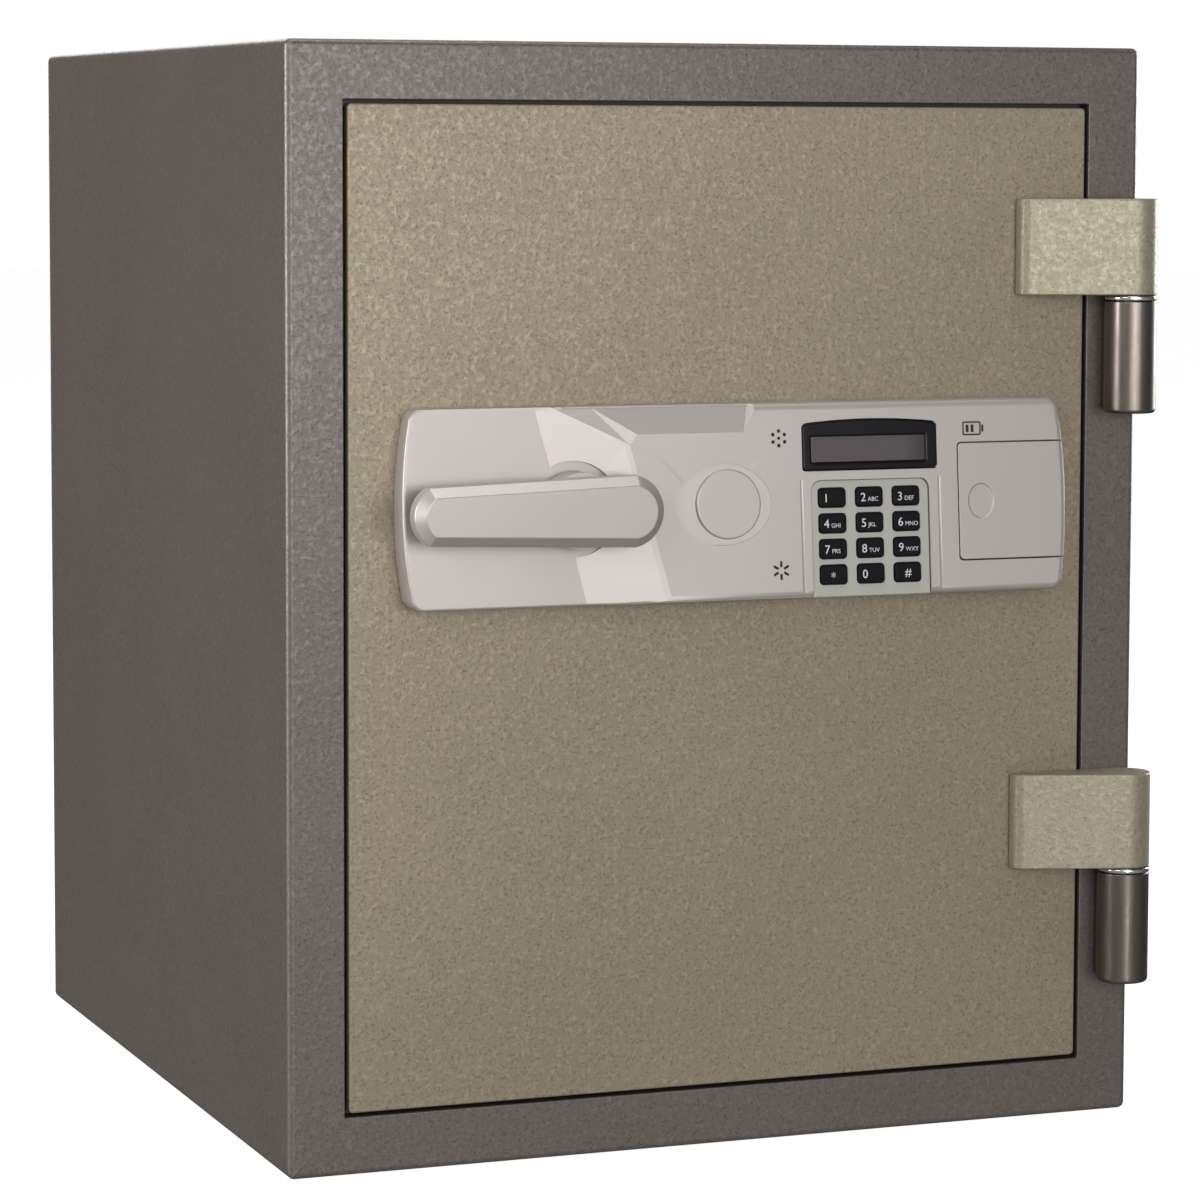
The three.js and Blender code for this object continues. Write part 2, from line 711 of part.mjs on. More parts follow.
// Corners of the panel's right end, moved in by `shrink`.
function panelRightEnd(shrink) {
  const side = panelSideHeights.map((z) => [sideBulge(panelRight, panelBulgeRight, z) - shrink, z, 0]);
  const bottomCorner = [panelRight - shrink, panelBottom + shrink, panelCorner];
  const topCorner = [panelRight - shrink, panelTop - shrink, panelCorner];
  return [bottomCorner, ...side, topCorner];
}

// The keypad end stands higher; a slanting ramp and a sloping recess lead up to it.
const recessFoot = 339.6;        // where the sloping recess starts, below the panel's top edge
const rampFoot = [
  [224.5, panelTop], [215.5, panelTop], [141.6, panelTop], [114.7, panelTop], [121.6, 327], [133, 284]];
const rampHead = [
  [224, panelTop], [216.8, recessFoot], [164, recessFoot], [159.9, 335.1], [163.9, 320], [172.4, 288]];

function plateauOutline(rise, shrink) {
  const between = (foot, head) => foot + (head - foot) * rise;
  const start = [between(139.1, 179.7), panelBottom + shrink, 0];
  const ramp = rampFoot.map(([x, z], i) => [
    between(x, rampHead[i][0]), Math.min(between(z, rampHead[i][1]), panelTop - shrink), 0]);
  return filleted([start, ...panelRightEnd(shrink), ...ramp]);
}

function panelOuter() {
  const leftSide = panelSideHeights.toReversed().map((z) => [sideBulge(panelLeft, -panelBulgeLeft, z), z, 0]);
  const outline = filleted([
    [panelLeft, panelBottom, panelCorner], ...panelRightEnd(0),
    [panelLeft, panelTop, panelCorner], ...leftSide]);
  const low = softPrism(outline, -fit, -panelLow, panelEdge, drawnFromFront);
  const high = stack([
    { outline: plateauOutline(0, 0), at: -fit },
    { outline: plateauOutline(0, 0), at: -panelLow },
    { outline: plateauOutline(0.78, 0), at: -panelHigh + 1.8 },
    { outline: plateauOutline(0.94, 0.6), at: -panelHigh + 0.5 },
    { outline: plateauOutline(1, 1.8), at: -panelHigh },
  ], drawnFromFront);
  return join(low, high);
}

const panelShape = panelOuter();
const batteryLeft = 326.5;
const batteryBottom = 276.9;
const batteryTop = 332.5;
const batteryFloor = -1.6;
const coverSkin = 1.8;
const padLeft = 250.2;
const padRight = 311.2;
const padTop = 316.5;
const padCorner = 5;
const bezelLeft = 246.4;
const bezelRight = 315.4;
const bezelBottom = 321;
const bezelTop = 344.6;
const hubPocketRadius = 22.3;
const hubPocketFloor = -panelLow;
const collarBack = -15.3;        // clear of the leaning pocket floor
const skin = 3.2;                // the panel's front wall over the electronics
const electronicsLeft = 230;
const lockHollowLeft = 188;
const leftHollowLeft = 58;
const leftHollowRight = 106;

function lockPanel() {
  const electronics = block(
    electronicsLeft, batteryLeft - 2, -panelHigh + skin, 0, panelBottom + 2.5, panelTop - 3);
  const lockHollow = block(
    lockHollowLeft, electronicsLeft + 1, -panelHigh + skin, 0, panelBottom + 2.5, recessFoot - 4);
  const leftHollow = block(
    leftHollowLeft, leftHollowRight, -panelLow + 2.5, 0, panelBottom + 3, panelTop - 3);
  const batteryBay = block(batteryLeft, 400, -panelHigh - 1, batteryFloor, batteryBottom, batteryTop);
  const hubPocket = barAlongY(handleX, handleZ, hubPocketRadius, -panelHigh - 1, hubPocketFloor, 40);
  const dishOutline = circle(0, 0, 1, 32).map(
    (p) => new THREE.Vector2(dishX + dishHalfWidth * p.x, lockZ + dishHalfHeight * p.y));
  const dish = prism(dishOutline, -panelHigh - 1, -panelHigh + dishDepth, drawnFromFront);
  const lockHole = barAlongY(lockX, lockZ, cylinderRadius + 0.5, -panelHigh - 1, 0);
  const padOutline = filleted([
    [padLeft, panelBottom - 5, 0], [padRight, panelBottom - 5, 0],
    [padRight, padTop, padCorner], [padLeft, padTop, padCorner]]);
  const pad = prism(padOutline, -panelHigh - 1, -panelHigh + skin + 1, drawnFromFront);
  const padSill = block(padLeft - 3, padRight + 3, -panelHigh + 2.8, 0, panelBottom - 1, panelBottom + 3);
  const display = block(
    bezelLeft - fit, bezelRight + fit, -panelHigh - 1, -panelHigh + 4, bezelBottom - fit, bezelTop + fit);
  const hollow = cut(
    panelShape, electronics, lockHollow, leftHollow, batteryBay, hubPocket, spindleHole(-30, 1), dish,
    lockHole, pad, display);
  return wedge(join(hollow, common(panelShape, padSill)));
}

// The sliding battery cover: the panel's skin over the battery bay and its right end.
function batteryCover() {
  const region = block(
    batteryLeft + fit, 400, -panelHigh - 1, batteryFloor - fit, batteryBottom + fit, batteryTop - fit);
  const inside = block(
    batteryLeft - 5, panelRight, -panelHigh + coverSkin, 1, batteryBottom - 5, batteryTop + 5);
  return wedge(cut(common(panelShape, region), inside));
}

function batteryCell() {
  const body = circle(0, 0, cellRadius, 20);
  const nub = circle(0, 0, cellNubRadius, 20);
  return stack([
    { outline: inset(body, 0.5), at: 0 },
    { outline: body, at: 0.5 },
    { outline: body, at: cellLength - 0.5 },
    { outline: inset(body, 0.5), at: cellLength },
    { outline: nub, at: cellLength + 0.1 },
    { outline: nub, at: cellLength + 1.5 },
  ], drawnFromAbove);
}

function keypadPlate() {
  const outline = filleted([
    [padLeft + fit, panelBottom + 3.5, 0.5], [padRight - fit, panelBottom + 3.5, 0.5],
    [padRight - fit, padTop - fit, padCorner], [padLeft + fit, padTop - fit, padCorner]]);
  const plate = prism(outline, -panelHigh + skin, -panelHigh + 0.9, drawnFromFront);
  const holes = keyRows.flatMap((z) => keyColumns.map((x) => block(
    x - keyWidth / 2 - 0.4, x + keyWidth / 2 + 0.4, -panelHigh - 1, -panelHigh + 5,
    z - keyHeight / 2 - 0.4, z + keyHeight / 2 + 0.4)));
  return wedge(cut(plate, ...holes));
}

function keyButton(x, z) {
  const outline = roundedRectangle(
    x - keyWidth / 2, x + keyWidth / 2, z - keyHeight / 2, z + keyHeight / 2, 1.8, 3);
  return wedge(softPrism(outline, keyBack, keyFront, 0.8, drawnFromFront, 2));
}

const keyMat = () => wedge(block(
  padLeft - 3, padRight + 3, keyBack + 1.4, keyBack + 4.2, panelBottom + 3.5, padTop + 2));

const circuitBoard = () => wedge(block(
  electronicsLeft + 2, batteryLeft - 4, -5.1, -3.5, panelBottom + 6, panelTop - 6));

const windowLeft = 250.9;
const windowRight = 309.5;
const windowBottom = 324.9;
const windowTop = 336.7;

function displayBezel() {
  const outline = roundedRectangle(bezelLeft, bezelRight, bezelBottom, bezelTop, 3, 3);
  const frame = softPrism(outline, -panelHigh + 3.4, -panelHigh - 0.6, 0.6, drawnFromFront, 1);
  const opening = block(
    windowLeft - fit, windowRight + fit, -panelHigh - 2, -panelHigh + 2, windowBottom - fit, windowTop + fit);
  return wedge(cut(frame, opening));
}

const displayWindow = () => wedge(block(
  windowLeft, windowRight, -panelHigh + 0.2, -panelHigh + 1.7, windowBottom, windowTop));

// ---------------------------------------------------------------- handle

const handleLeft = 49;
const handleRight = 169.3;
const handleLeftHalf = 13.2;
const handleRightHalf = 16.5;
const handleLeftRadius = 15.4;
const handleRightRadius = 16.8;
const collarRadius = 17.8;

function endArc(centreX, radius, halfHeight, fromRight) {
  const reach = Math.asin(halfHeight / radius);
  const points = [];
  const steps = 8;
  for (let step = 0; step <= steps; step++) {
    const angle = (fromRight ? 0 : Math.PI) + reach * ((2 * step) / steps - 1);
    points.push(new THREE.Vector2(centreX + radius * Math.cos(angle), handleZ + radius * Math.sin(angle)));
  }
  return points;
}

function handleOutline() {
  const right = endArc(handleRight - handleRightRadius, handleRightRadius, handleRightHalf, true);
  const left = endArc(handleLeft + handleLeftRadius, handleLeftRadius, handleLeftHalf, false);
  return [...right, ...left];
}

const handleBar = () => softPrism(handleOutline(), handleBack, handleFront, handleChamfer, drawnFromFront, 3);

function hubCollar() {
  const ring = barAlongY(handleX, handleZ, collarRadius, handleBack + fit, collarBack, 32);
  return cut(ring, barAlongY(handleX, handleZ, spindleRadius + 0.4, handleBack - 1, collarBack + 1));
}

const spindle = () => barAlongY(
  handleX, handleZ, spindleRadius, handleBack + fit, camFront - fit, 20);

// ---------------------------------------------------------------- assembly

const safe = new THREE.Group();
safe.position.set(-caseWidth / 2, -caseDepth / 2, 0);

function add(name, geometry, finish, x = 0, y = 0, z = 0) {
  const mesh = new THREE.Mesh(geometry, new THREE.MeshStandardMaterial(finishes[finish]));
  mesh.name = name;
  mesh.position.set(x, y, z);
  safe.add(mesh);
}

function addCabinet() {
  add('outer_case', outerCase(), 'casePaint');
  add('back_panel', backPanel(), 'casePaint');
  add('door_jamb', doorJamb(), 'casePaint');
  add('fire_filling', fireFilling(), 'plaster');
  add('inner_liner', innerLiner(), 'linerPaint');
  add('shelf', shelf(), 'linerPaint');
  for (const [side, x] of Object.entries(anchorPlaces)) {
    add(`anchor_plug_${side}`, anchorPlug(x), 'rubber');
  }
  for (const level of Object.keys(hingeLevels)) {
    add(`hinge_barrel_${level}`, hingeBarrel(level), 'barrelSteel');
    add(`hinge_pin_${level}`, hingePin(level), 'bareSteel');
    add(`hinge_washer_${level}`, hingeWasher(level), 'chrome');
  }
}

function addDoor() {
  add('door_face', doorFace(), 'doorPaint');
  add('door_seal', doorSeal(), 'rubber');
  add('door_tray', doorTray(), 'casePaint');
  add('door_filling', doorFilling(), 'plaster');
  add('inner_cover', innerCover(), 'linerPaint');
  add('bolt_chassis', boltChassis(), 'bareSteel');
  for (const level of Object.keys(hingeLevels)) {
    add(`hinge_block_${level}`, hingeBlock(level), 'doorPaint');
    add(`dead_bolt_${level}`, deadBolt(deadBoltLevels[level]), 'bareSteel');
  }
}

function addBoltWork() {
  add('bolt_carriage', boltCarriage(), 'bareSteel');
  const bolt = liveBolt();
  boltLevels.forEach((z, i) => add(`live_bolt_${i + 1}`, bolt, 'chrome', trayLeft - 0.5, boltDepth, z));
  add('handle_cam', handleCam(), 'bareSteel');
  add('solenoid_body', solenoidBody(), 'bareSteel');
  add('solenoid_plunger', solenoidPlunger(), 'chrome');
}

function addLock() {
  add('lock_panel', lockPanel(), 'panelPlastic');
  add('key_cylinder', keyCylinder(), 'brass');
  add('key_plug', keyPlug(), 'brass');
  add('key_cap', keyCap(), 'panelPlastic');
  add('circuit_board', circuitBoard(), 'circuit');
  add('key_mat', keyMat(), 'rubber');
  add('keypad_plate', keypadPlate(), 'keypadPlastic');
  add('display_bezel', displayBezel(), 'bezel');
  add('display_window', displayWindow(), 'displayGlass');
  add('battery_cover', batteryCover(), 'panelPlastic');
  const cell = batteryCell();
  for (let i = 0; i < 4; i++) {
    add(`battery_${i + 1}`, cell, 'cell', firstCellX + i * cellPitch, cellY, batteryBottom + 2);
  }
  keyNames.forEach((name, i) => {
    add(`key_${name}`, keyButton(keyColumns[i % 3], keyRows[Math.floor(i / 3)]), 'keyRubber');
  });
}

function addHandle() {
  add('handle', handleBar(), 'handlePlastic');
  add('hub_collar', hubCollar(), 'panelPlastic');
  add('spindle', spindle(), 'bareSteel');
}

addCabinet();
addDoor();
addBoltWork();
addLock();
addHandle();

const root = new THREE.Group();
root.add(safe);

export default root;
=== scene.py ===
import json
import math
from collections import namedtuple

import bmesh
import bpy
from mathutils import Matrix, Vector


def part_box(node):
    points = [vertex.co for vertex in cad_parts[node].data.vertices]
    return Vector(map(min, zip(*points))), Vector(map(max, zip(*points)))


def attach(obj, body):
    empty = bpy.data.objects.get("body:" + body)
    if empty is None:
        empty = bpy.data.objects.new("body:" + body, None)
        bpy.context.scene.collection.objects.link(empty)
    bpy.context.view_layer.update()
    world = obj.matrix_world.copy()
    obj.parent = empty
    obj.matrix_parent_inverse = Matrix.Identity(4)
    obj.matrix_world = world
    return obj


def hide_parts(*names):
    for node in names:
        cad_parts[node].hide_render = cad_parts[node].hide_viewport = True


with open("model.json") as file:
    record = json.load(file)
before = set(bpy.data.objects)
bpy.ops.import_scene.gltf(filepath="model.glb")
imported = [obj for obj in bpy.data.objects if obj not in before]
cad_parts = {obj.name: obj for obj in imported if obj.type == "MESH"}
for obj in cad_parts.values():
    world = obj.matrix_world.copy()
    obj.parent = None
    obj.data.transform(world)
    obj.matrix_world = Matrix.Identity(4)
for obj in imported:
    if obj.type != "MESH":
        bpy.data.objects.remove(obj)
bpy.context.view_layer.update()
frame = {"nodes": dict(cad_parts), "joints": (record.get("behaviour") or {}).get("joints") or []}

# The looks of the in-room fire safe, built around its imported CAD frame.
# Lengths are millimetres in the safe's front frame: x runs right from the case's left side,
# y runs back from its front face and z runs up from its base. point() turns them into metres.

MM = 0.001
scene = bpy.context.scene
case_low, case_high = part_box("outer_case")

Box = namedtuple("Box", "left right front back bottom top")

WEDGE_SLOPE = 0.0046    # the lock panel's thickness grows by this share for each millimetre down
WEDGE_MIDDLE = 308.0    # the height where its thickness is as drawn


def point(x, y, z):
    """A point of the front frame in the row frame, in metres."""
    return case_low + Vector((x, y, z)) * MM


def box(node):
    """A CAD node's box in the front frame."""
    low, high = ((corner - case_low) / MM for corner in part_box(node))
    return Box(low.x, high.x, low.y, high.y, low.z, high.z)


def lean(z):
    """How much thicker the wedge-shaped lock panel is at a height than at its middle."""
    return 1 + WEDGE_SLOPE * (WEDGE_MIDDLE - z)


def even_box(node):
    """The box of one of the lock panel's CAD nodes before the wedge shape leans it."""
    found = box(node)
    return found._replace(front=found.front / lean(found.bottom), back=found.back / lean(found.top))


def axis_of(joint):
    """The point on a hinge's axis that the record gives, in the front frame."""
    found = next(j for j in frame["joints"] if j["name"] == joint)
    return (Vector(found["pos_m"]) - case_low) / MM


# ---------------------------------------------------------------- outlines


def rounded(corners, steps=10):
    """A closed outline from corners (u, v, radius); each radius becomes an arc."""
    outline = []
    for i, (u, v, radius) in enumerate(corners):
        corner = Vector((u, v))
        if not radius:
            outline.append(corner)
            continue
        before = (Vector(corners[i - 1][:2]) - corner).normalized()
        after = (Vector(corners[(i + 1) % len(corners)][:2]) - corner).normalized()
        half = before.angle(after) / 2
        centre = corner + (before + after).normalized() * radius / math.sin(half)
        start = corner + before * radius / math.tan(half) - centre
        end = corner + after * radius / math.tan(half) - centre
        sweep = math.atan2(start.x * end.y - start.y * end.x, start.dot(end))
        for step in range(steps + 1):
            angle = sweep * step / steps
            turned = Vector((
                start.x * math.cos(angle) - start.y * math.sin(angle),
                start.x * math.sin(angle) + start.y * math.cos(angle)))
            outline.append(centre + turned)
    return outline


def rectangle(left, right, bottom, top, radius=0.0, steps=10):
    corners = [(left, bottom), (right, bottom), (right, top), (left, top)]
    return rounded([(u, v, radius) for u, v in corners], steps)


def ellipse(u, v, half_width, half_height, sides=96):
    angles = [2 * math.pi * i / sides for i in range(sides)]
    return [Vector((u + half_width * math.cos(a), v + half_height * math.sin(a))) for a in angles]


def circle(u, v, radius, sides=96):
    return ellipse(u, v, radius, radius, sides)


def inset(outline, distance):
    """A counter-clockwise outline moved inwards."""
    moved = []
    for i, here in enumerate(outline):
        along_in = (here - outline[i - 1]).normalized()
        along_out = (outline[(i + 1) % len(outline)] - here).normalized()
        before = Vector((-along_in.y, along_in.x))
        after = Vector((-along_out.y, along_out.x))
        middle = (before + after).normalized()
        moved.append(here + middle * distance / middle.dot(before))
    return moved


# ---------------------------------------------------------------- meshes


def from_front(u, v, at):
    return point(u, at, v)


def from_above(u, v, at):
    return point(u, v, at)


def from_side(u, v, at):
    return point(at, u, v)


def mesh_object(name, vertices, faces):
    """A new object with outward-facing faces; the vertices are already in metres."""
    mesh = bpy.data.meshes.new(name)
    mesh.from_pydata([tuple(v) for v in vertices], [], faces)
    thing = bpy.data.objects.new(name, mesh)
    scene.collection.objects.link(thing)
    edit(thing, lambda bm: bmesh.ops.recalc_face_normals(bm, faces=bm.faces))
    return thing


def edit(thing, change):
    """Runs a change on an object's mesh in bmesh."""
    bm = bmesh.new()
    bm.from_mesh(thing.data)
    change(bm)
    bm.to_mesh(thing.data)
    bm.free()
    thing.data.update()


def loft(name, levels, place, ring=False):
    """A closed solid through levels (outline, at). A ring joins its last level to its first."""
    count = len(levels[0][0])
    vertices = [place(u, v, at) for outline, at in levels for u, v in outline]
    faces = []
    for row in range(len(levels) if ring else len(levels) - 1):
        here = row * count
        there = ((row + 1) % len(levels)) * count
        for i in range(count):
            j = (i + 1) % count
            faces.append((here + i, here + j, there + j, there + i))
    if not ring:
        faces.append(tuple(reversed(range(count))))
        faces.append(tuple(range((len(levels) - 1) * count, len(levels) * count)))
    return mesh_object(name, vertices, faces)


def prism(name, outline, start, end, place):
    return loft(name, [(outline, start), (outline, end)], place)


def round_levels(outline, at, direction, radius, steps=6):
    """The levels of a rounded edge that ends at `at`, reached by moving in `direction`."""
    levels = []
    for step in range(steps + 1):
        angle = math.pi / 2 * step / steps
        sunk = radius * (1 - math.sin(angle))
        levels.append((inset(outline, radius * (1 - math.cos(angle))), at - direction * sunk))
    return levels


def soft_prism(name, outline, start, end, start_edge, end_edge, place, steps=6):
    """A prism with both ends rounded."""
    direction = 1 if end > start else -1
    levels = list(reversed(round_levels(outline, start, -direction, start_edge, steps)))
    levels += round_levels(outline, end, direction, end_edge, steps)
    return loft(name, levels, place)


def block(name, left, right, front, back, bottom, top):
    return prism(name, rectangle(left, right, bottom, top), front, back, from_front)


def bake_modifiers(thing):
    """Applies an object's modifiers to its mesh."""
    bpy.context.view_layer.update()
    evaluated = thing.evaluated_get(bpy.context.evaluated_depsgraph_get())
    mesh = bpy.data.meshes.new_from_object(evaluated)
    old = thing.data
    thing.modifiers.clear()
    thing.data = mesh
    bpy.data.meshes.remove(old)


def boolean(thing, operation, tools):
    """Adds, cuts or intersects an object with tools, and removes the tools."""
    for tool in tools:
        modifier = thing.modifiers.new("boolean", "BOOLEAN")
        modifier.operation = operation
        modifier.solver = "EXACT"
        modifier.object = tool
        bake_modifiers(thing)
        mesh = tool.data
        bpy.data.objects.remove(tool)
        bpy.data.meshes.remove(mesh)
    return thing


def cut(thing, *tools):
    return boolean(thing, "DIFFERENCE", tools)


def join(thing, *tools):
    return boolean(thing, "UNION", tools)


def common(thing, *tools):
    return boolean(thing, "INTERSECT", tools)


def soften(thing, radius, segments=3, sharper_than=40.0, where=None, clamp=True):
    """Rounds the edges that are sharper than an angle, in degrees, where `where(point in mm)` holds."""
    limit = math.radians(sharper_than)

    def change(bm):
        def wanted(edge):
            if not edge.is_manifold or edge.calc_face_angle(0) < limit:
                return False
            return where is None or all(where((v.co - case_low) / MM) for v in edge.verts)

        bmesh.ops.bevel(
            bm, geom=[e for e in bm.edges if wanted(e)], offset=radius * MM, segments=segments,
            profile=0.5, affect="EDGES", clamp_overlap=clamp)

    edit(thing, change)
    return thing


def wedge(thing):
    """Leans a piece that was drawn with even thickness to the lock panel's wedge shape."""
    def change(bm):
        for vertex in bm.verts:
            x, y, z = (vertex.co - case_low) / MM
            vertex.co = point(x, y * lean(z), z)

    edit(thing, change)
    return thing


def shade(thing):
    """Smooth shading: flats keep their own normals and narrow faces blend into what they meet."""
    crease = math.radians(35)
    flat_width = 0.9 * MM       # a face whose area is this much of its outline's length is a flat
    mesh = thing.data
    around = [[] for _ in mesh.vertices]
    flats = set()
    for face in mesh.polygons:
        face.use_smooth = True
        ends = [mesh.vertices[index].co for index in face.vertices]
        outline = sum((end - ends[i - 1]).length for i, end in enumerate(ends))
        if face.area > flat_width * outline:
            flats.add(face.index)
        for index in face.vertices:
            around[index].append(face)
    normals = [Vector()] * len(mesh.loops)
    for face in mesh.polygons:
        for corner in face.loop_indices:
            if face.index in flats:
                normals[corner] = face.normal.copy()
                continue
            near = [other for other in around[mesh.loops[corner].vertex_index]
                    if other.area > 0 and face.normal.angle(other.normal, 0) < crease]
            flat = [other for other in near if other.index in flats]
            if flat:
                near = [min(flat, key=lambda other: face.normal.angle(other.normal, 0))]
            normals[corner] = sum((other.normal * other.area for other in near), Vector()).normalized()
    mesh.normals_split_custom_set(normals)
    return thing


def finish_piece(thing, body, material, replaces=()):
    """Gives a piece its material and body, and hides the CAD nodes it stands for."""
    thing.data.materials.clear()
    thing.data.materials.append(material)
    shade(thing)
    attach(thing, body)
    if replaces:
        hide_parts(*replaces)
    return thing


# ---------------------------------------------------------------- materials


def tone(red, green, blue):
    """An sRGB colour, 0 to 255, as the linear colour that shaders take."""
    def linear(value):
        share = value / 255
        return share / 12.92 if share <= 0.04045 else ((share + 0.055) / 1.055) ** 2.4

    return (linear(red), linear(green), linear(blue), 1.0)


def scaled(colour, factor):
    return tuple(min(1.0, channel * factor) for channel in colour[:3]) + (1.0,)


class Shader:
    """A material being built: its node tree, its Principled shader and its object coordinates."""

    def __init__(self, name):
        self.material = bpy.data.materials.new(name)
        self.material.use_nodes = True
        self.tree = self.material.node_tree
        self.surface = self.tree.nodes["Principled BSDF"]
        self.place = self.node("ShaderNodeTexCoord").outputs["Object"]

    def node(self, kind, links=None, **settings):
        made = self.tree.nodes.new(kind)
        for name, value in settings.items():
            setattr(made, name, value)
        for socket, value in (links or {}).items():
            self.connect(value, made.inputs[socket])
        return made

    def connect(self, value, socket):
        if isinstance(value, bpy.types.NodeSocket):
            self.tree.links.new(value, socket)
        else:
            socket.default_value = value

    def noise(self, scale, detail=2.0, roughness=0.5, stretch=None):
        """Noise whose features are about 1/scale metres across."""
        place = self.place
        if stretch:
            place = self.node("ShaderNodeMapping", {"Vector": place, "Scale": stretch}).outputs[0]
        made = self.node("ShaderNodeTexNoise", {
            "Vector": place, "Scale": scale, "Detail": detail, "Roughness": roughness})
        return made.outputs["Fac"]

    def ranged(self, value, low, high, to_low, to_high):
        made = self.node("ShaderNodeMapRange", {
            "Value": value, "From Min": low, "From Max": high, "To Min": to_low, "To Max": to_high})
        return made.outputs["Result"]

    def mixed(self, share, first, second, blend="MIX"):
        made = self.node("ShaderNodeMix", data_type="RGBA", blend_type=blend)
        self.connect(share, made.inputs[0])
        self.connect(first, made.inputs[6])
        self.connect(second, made.inputs[7])
        return made.outputs[2]

    def bump(self, height, depth, strength=1.0, before=None):
        """A bump of `depth` millimetres."""
        made = self.node("ShaderNodeBump", {
            "Height": height, "Distance": depth * MM, "Strength": strength})
        if before is not None:
            self.connect(before, made.inputs["Normal"])
        return made.outputs["Normal"]

    def set(self, **values):
        """Sets Principled sockets by name, with underscores for spaces."""
        for name, value in values.items():
            self.connect(value, self.surface.inputs[name.replace("_", " ")])
        return self.material


def moulded(name, colour, roughness=0.4, metallic=0.0, grain=900.0, depth=0.02, uneven=0.05,
            coat=0.0, specular=0.5):
    """Moulded plastic, rubber or plain paint: a fine grain, faint blotches and uneven gloss."""
    shader = Shader(name)
    fine = shader.noise(grain, 3.0, 0.6)
    broad = shader.noise(14.0, 3.0, 0.55)
    blotch = shader.mixed(
        shader.ranged(broad, 0.3, 0.7, 0.0, 1.0), scaled(colour, 1 - uneven), scaled(colour, 1 + uneven))
    speck = shader.mixed(
        shader.ranged(fine, 0.35, 0.7, 0.0, 0.35), blotch, scaled(colour, 1 - 1.6 * uneven))
    gloss = shader.ranged(shader.noise(60.0, 4.0, 0.6), 0.2, 0.8, roughness * 0.97, roughness * 1.03)
    return shader.set(
        Base_Color=speck, Roughness=gloss, Metallic=metallic, Normal=shader.bump(fine, depth),
        Coat_Weight=coat, Specular_IOR_Level=specular)


def hammertone(name, colour, light, dark, roughness, metallic, depth, cell=520.0):
    """Textured safe paint: shallow pits whose floors are darkened as painted shade and whose crowns are
    lightened as painted highlight, and broad mottling.
    """
    shader = Shader(name)
    pits = shader.noise(cell, 2.5, 0.55)
    fleck = shader.noise(cell * 1.9, 2.0, 0.5)
    broad = shader.noise(9.0, 4.0, 0.6)
    base = shader.mixed(
        shader.ranged(broad, 0.3, 0.7, 0.0, 1.0), scaled(colour, 0.955), scaled(colour, 1.045))
    # Painted highlight on the crowns and painted shade in the pits, both following the noise that also
    # drives the bump.
    with_crown_highlight = shader.mixed(shader.ranged(pits, 0.52, 0.68, 0.0, 0.75), base, light)
    with_pit_shade = shader.mixed(shader.ranged(fleck, 0.46, 0.32, 0.0, 0.8), with_crown_highlight, dark)
    gloss = shader.ranged(pits, 0.35, 0.65, roughness * 1.15, roughness * 0.88)
    height = shader.node("ShaderNodeMath", {0: pits, 1: 0.75}, operation="MULTIPLY").outputs[0]
    height = shader.node("ShaderNodeMath", {0: fleck, 1: 0.25, 2: height}, operation="MULTIPLY_ADD")
    return shader.set(
        Base_Color=with_pit_shade, Roughness=gloss, Metallic=metallic,
        Normal=shader.bump(height.outputs[0], depth))


def metal(name, colour, roughness=0.3, stretch=(1.0, 1.0, 1.0), scale=900.0, depth=0.008):
    """Machined or plated metal, with fine marks drawn out along the axis whose stretch is small."""
    shader = Shader(name)
    marks = shader.noise(scale, 3.0, 0.6, stretch)
    smear = shader.noise(45.0, 4.0, 0.65)
    stained = shader.mixed(
        shader.ranged(smear, 0.35, 0.75, 0.0, 1.0), colour, scaled(colour, 0.84))
    gloss = shader.node(
        "ShaderNodeMath", {0: shader.ranged(marks, 0.3, 0.7, -0.05, 0.05),
                           1: shader.ranged(smear, 0.3, 0.7, roughness, roughness * 1.3)},
        operation="ADD", use_clamp=True).outputs[0]
    return shader.set(
        Base_Color=stained, Roughness=gloss, Metallic=1.0, Normal=shader.bump(marks, depth))


# Each hammertone's second tone is the painted highlight of its crowns and its third the painted shade of
# its pits.
CASE_PAINT = hammertone(
    "case_paint", tone(103, 95, 89), tone(120, 111, 104), tone(82, 75, 70), 0.38, 0.35, 0.17, 390.0)
DOOR_PAINT = hammertone(
    "door_paint", tone(139, 128, 108), tone(158, 147, 126), tone(111, 102, 85), 0.4, 0.3, 0.19, 390.0)
# The lugs' paint is the door's hammertone made a little lighter: painted light for the light their tilted
# faces catch.
LUG_PAINT_WITH_PAINTED_LIGHT = hammertone(
    "lug_paint_with_painted_light", tone(142, 136, 115), tone(155, 149, 128), tone(120, 114, 95), 0.4, 0.25, 0.2, 390.0)
# Jamb and door tray: a colour far darker than the case paint they share, as painted shade for the door
# gap.
JAMB_PAINTED_SHADE = moulded("jamb_painted_shade", tone(62, 57, 54), 0.55, 0.1, grain=700.0, depth=0.05)
LINER_PAINT = moulded("liner_paint", tone(168, 165, 158), 0.5, 0.05, grain=700.0, depth=0.05)
PLASTER = moulded("fire_filling", tone(212, 205, 192), 0.9, grain=350.0, depth=0.25, uneven=0.08)
BARREL_STEEL = metal("barrel_steel", tone(116, 109, 102), 0.28, (1.0, 1.0, 0.04), 700.0)
STEEL = metal("steel", tone(165, 166, 168), 0.32, (1.0, 1.0, 0.06))
CHROME = metal("chrome", tone(205, 205, 208), 0.16, depth=0.001)
BRASS = metal("brass", tone(196, 165, 96), 0.28)
PANEL_PLASTIC = moulded("panel_plastic", tone(176, 169, 164), 0.42, 0.45, depth=0.004, uneven=0.01)
HANDLE_METAL = moulded("handle_metal", tone(176, 169, 166), 0.40, 0.45, depth=0.004, uneven=0.01)
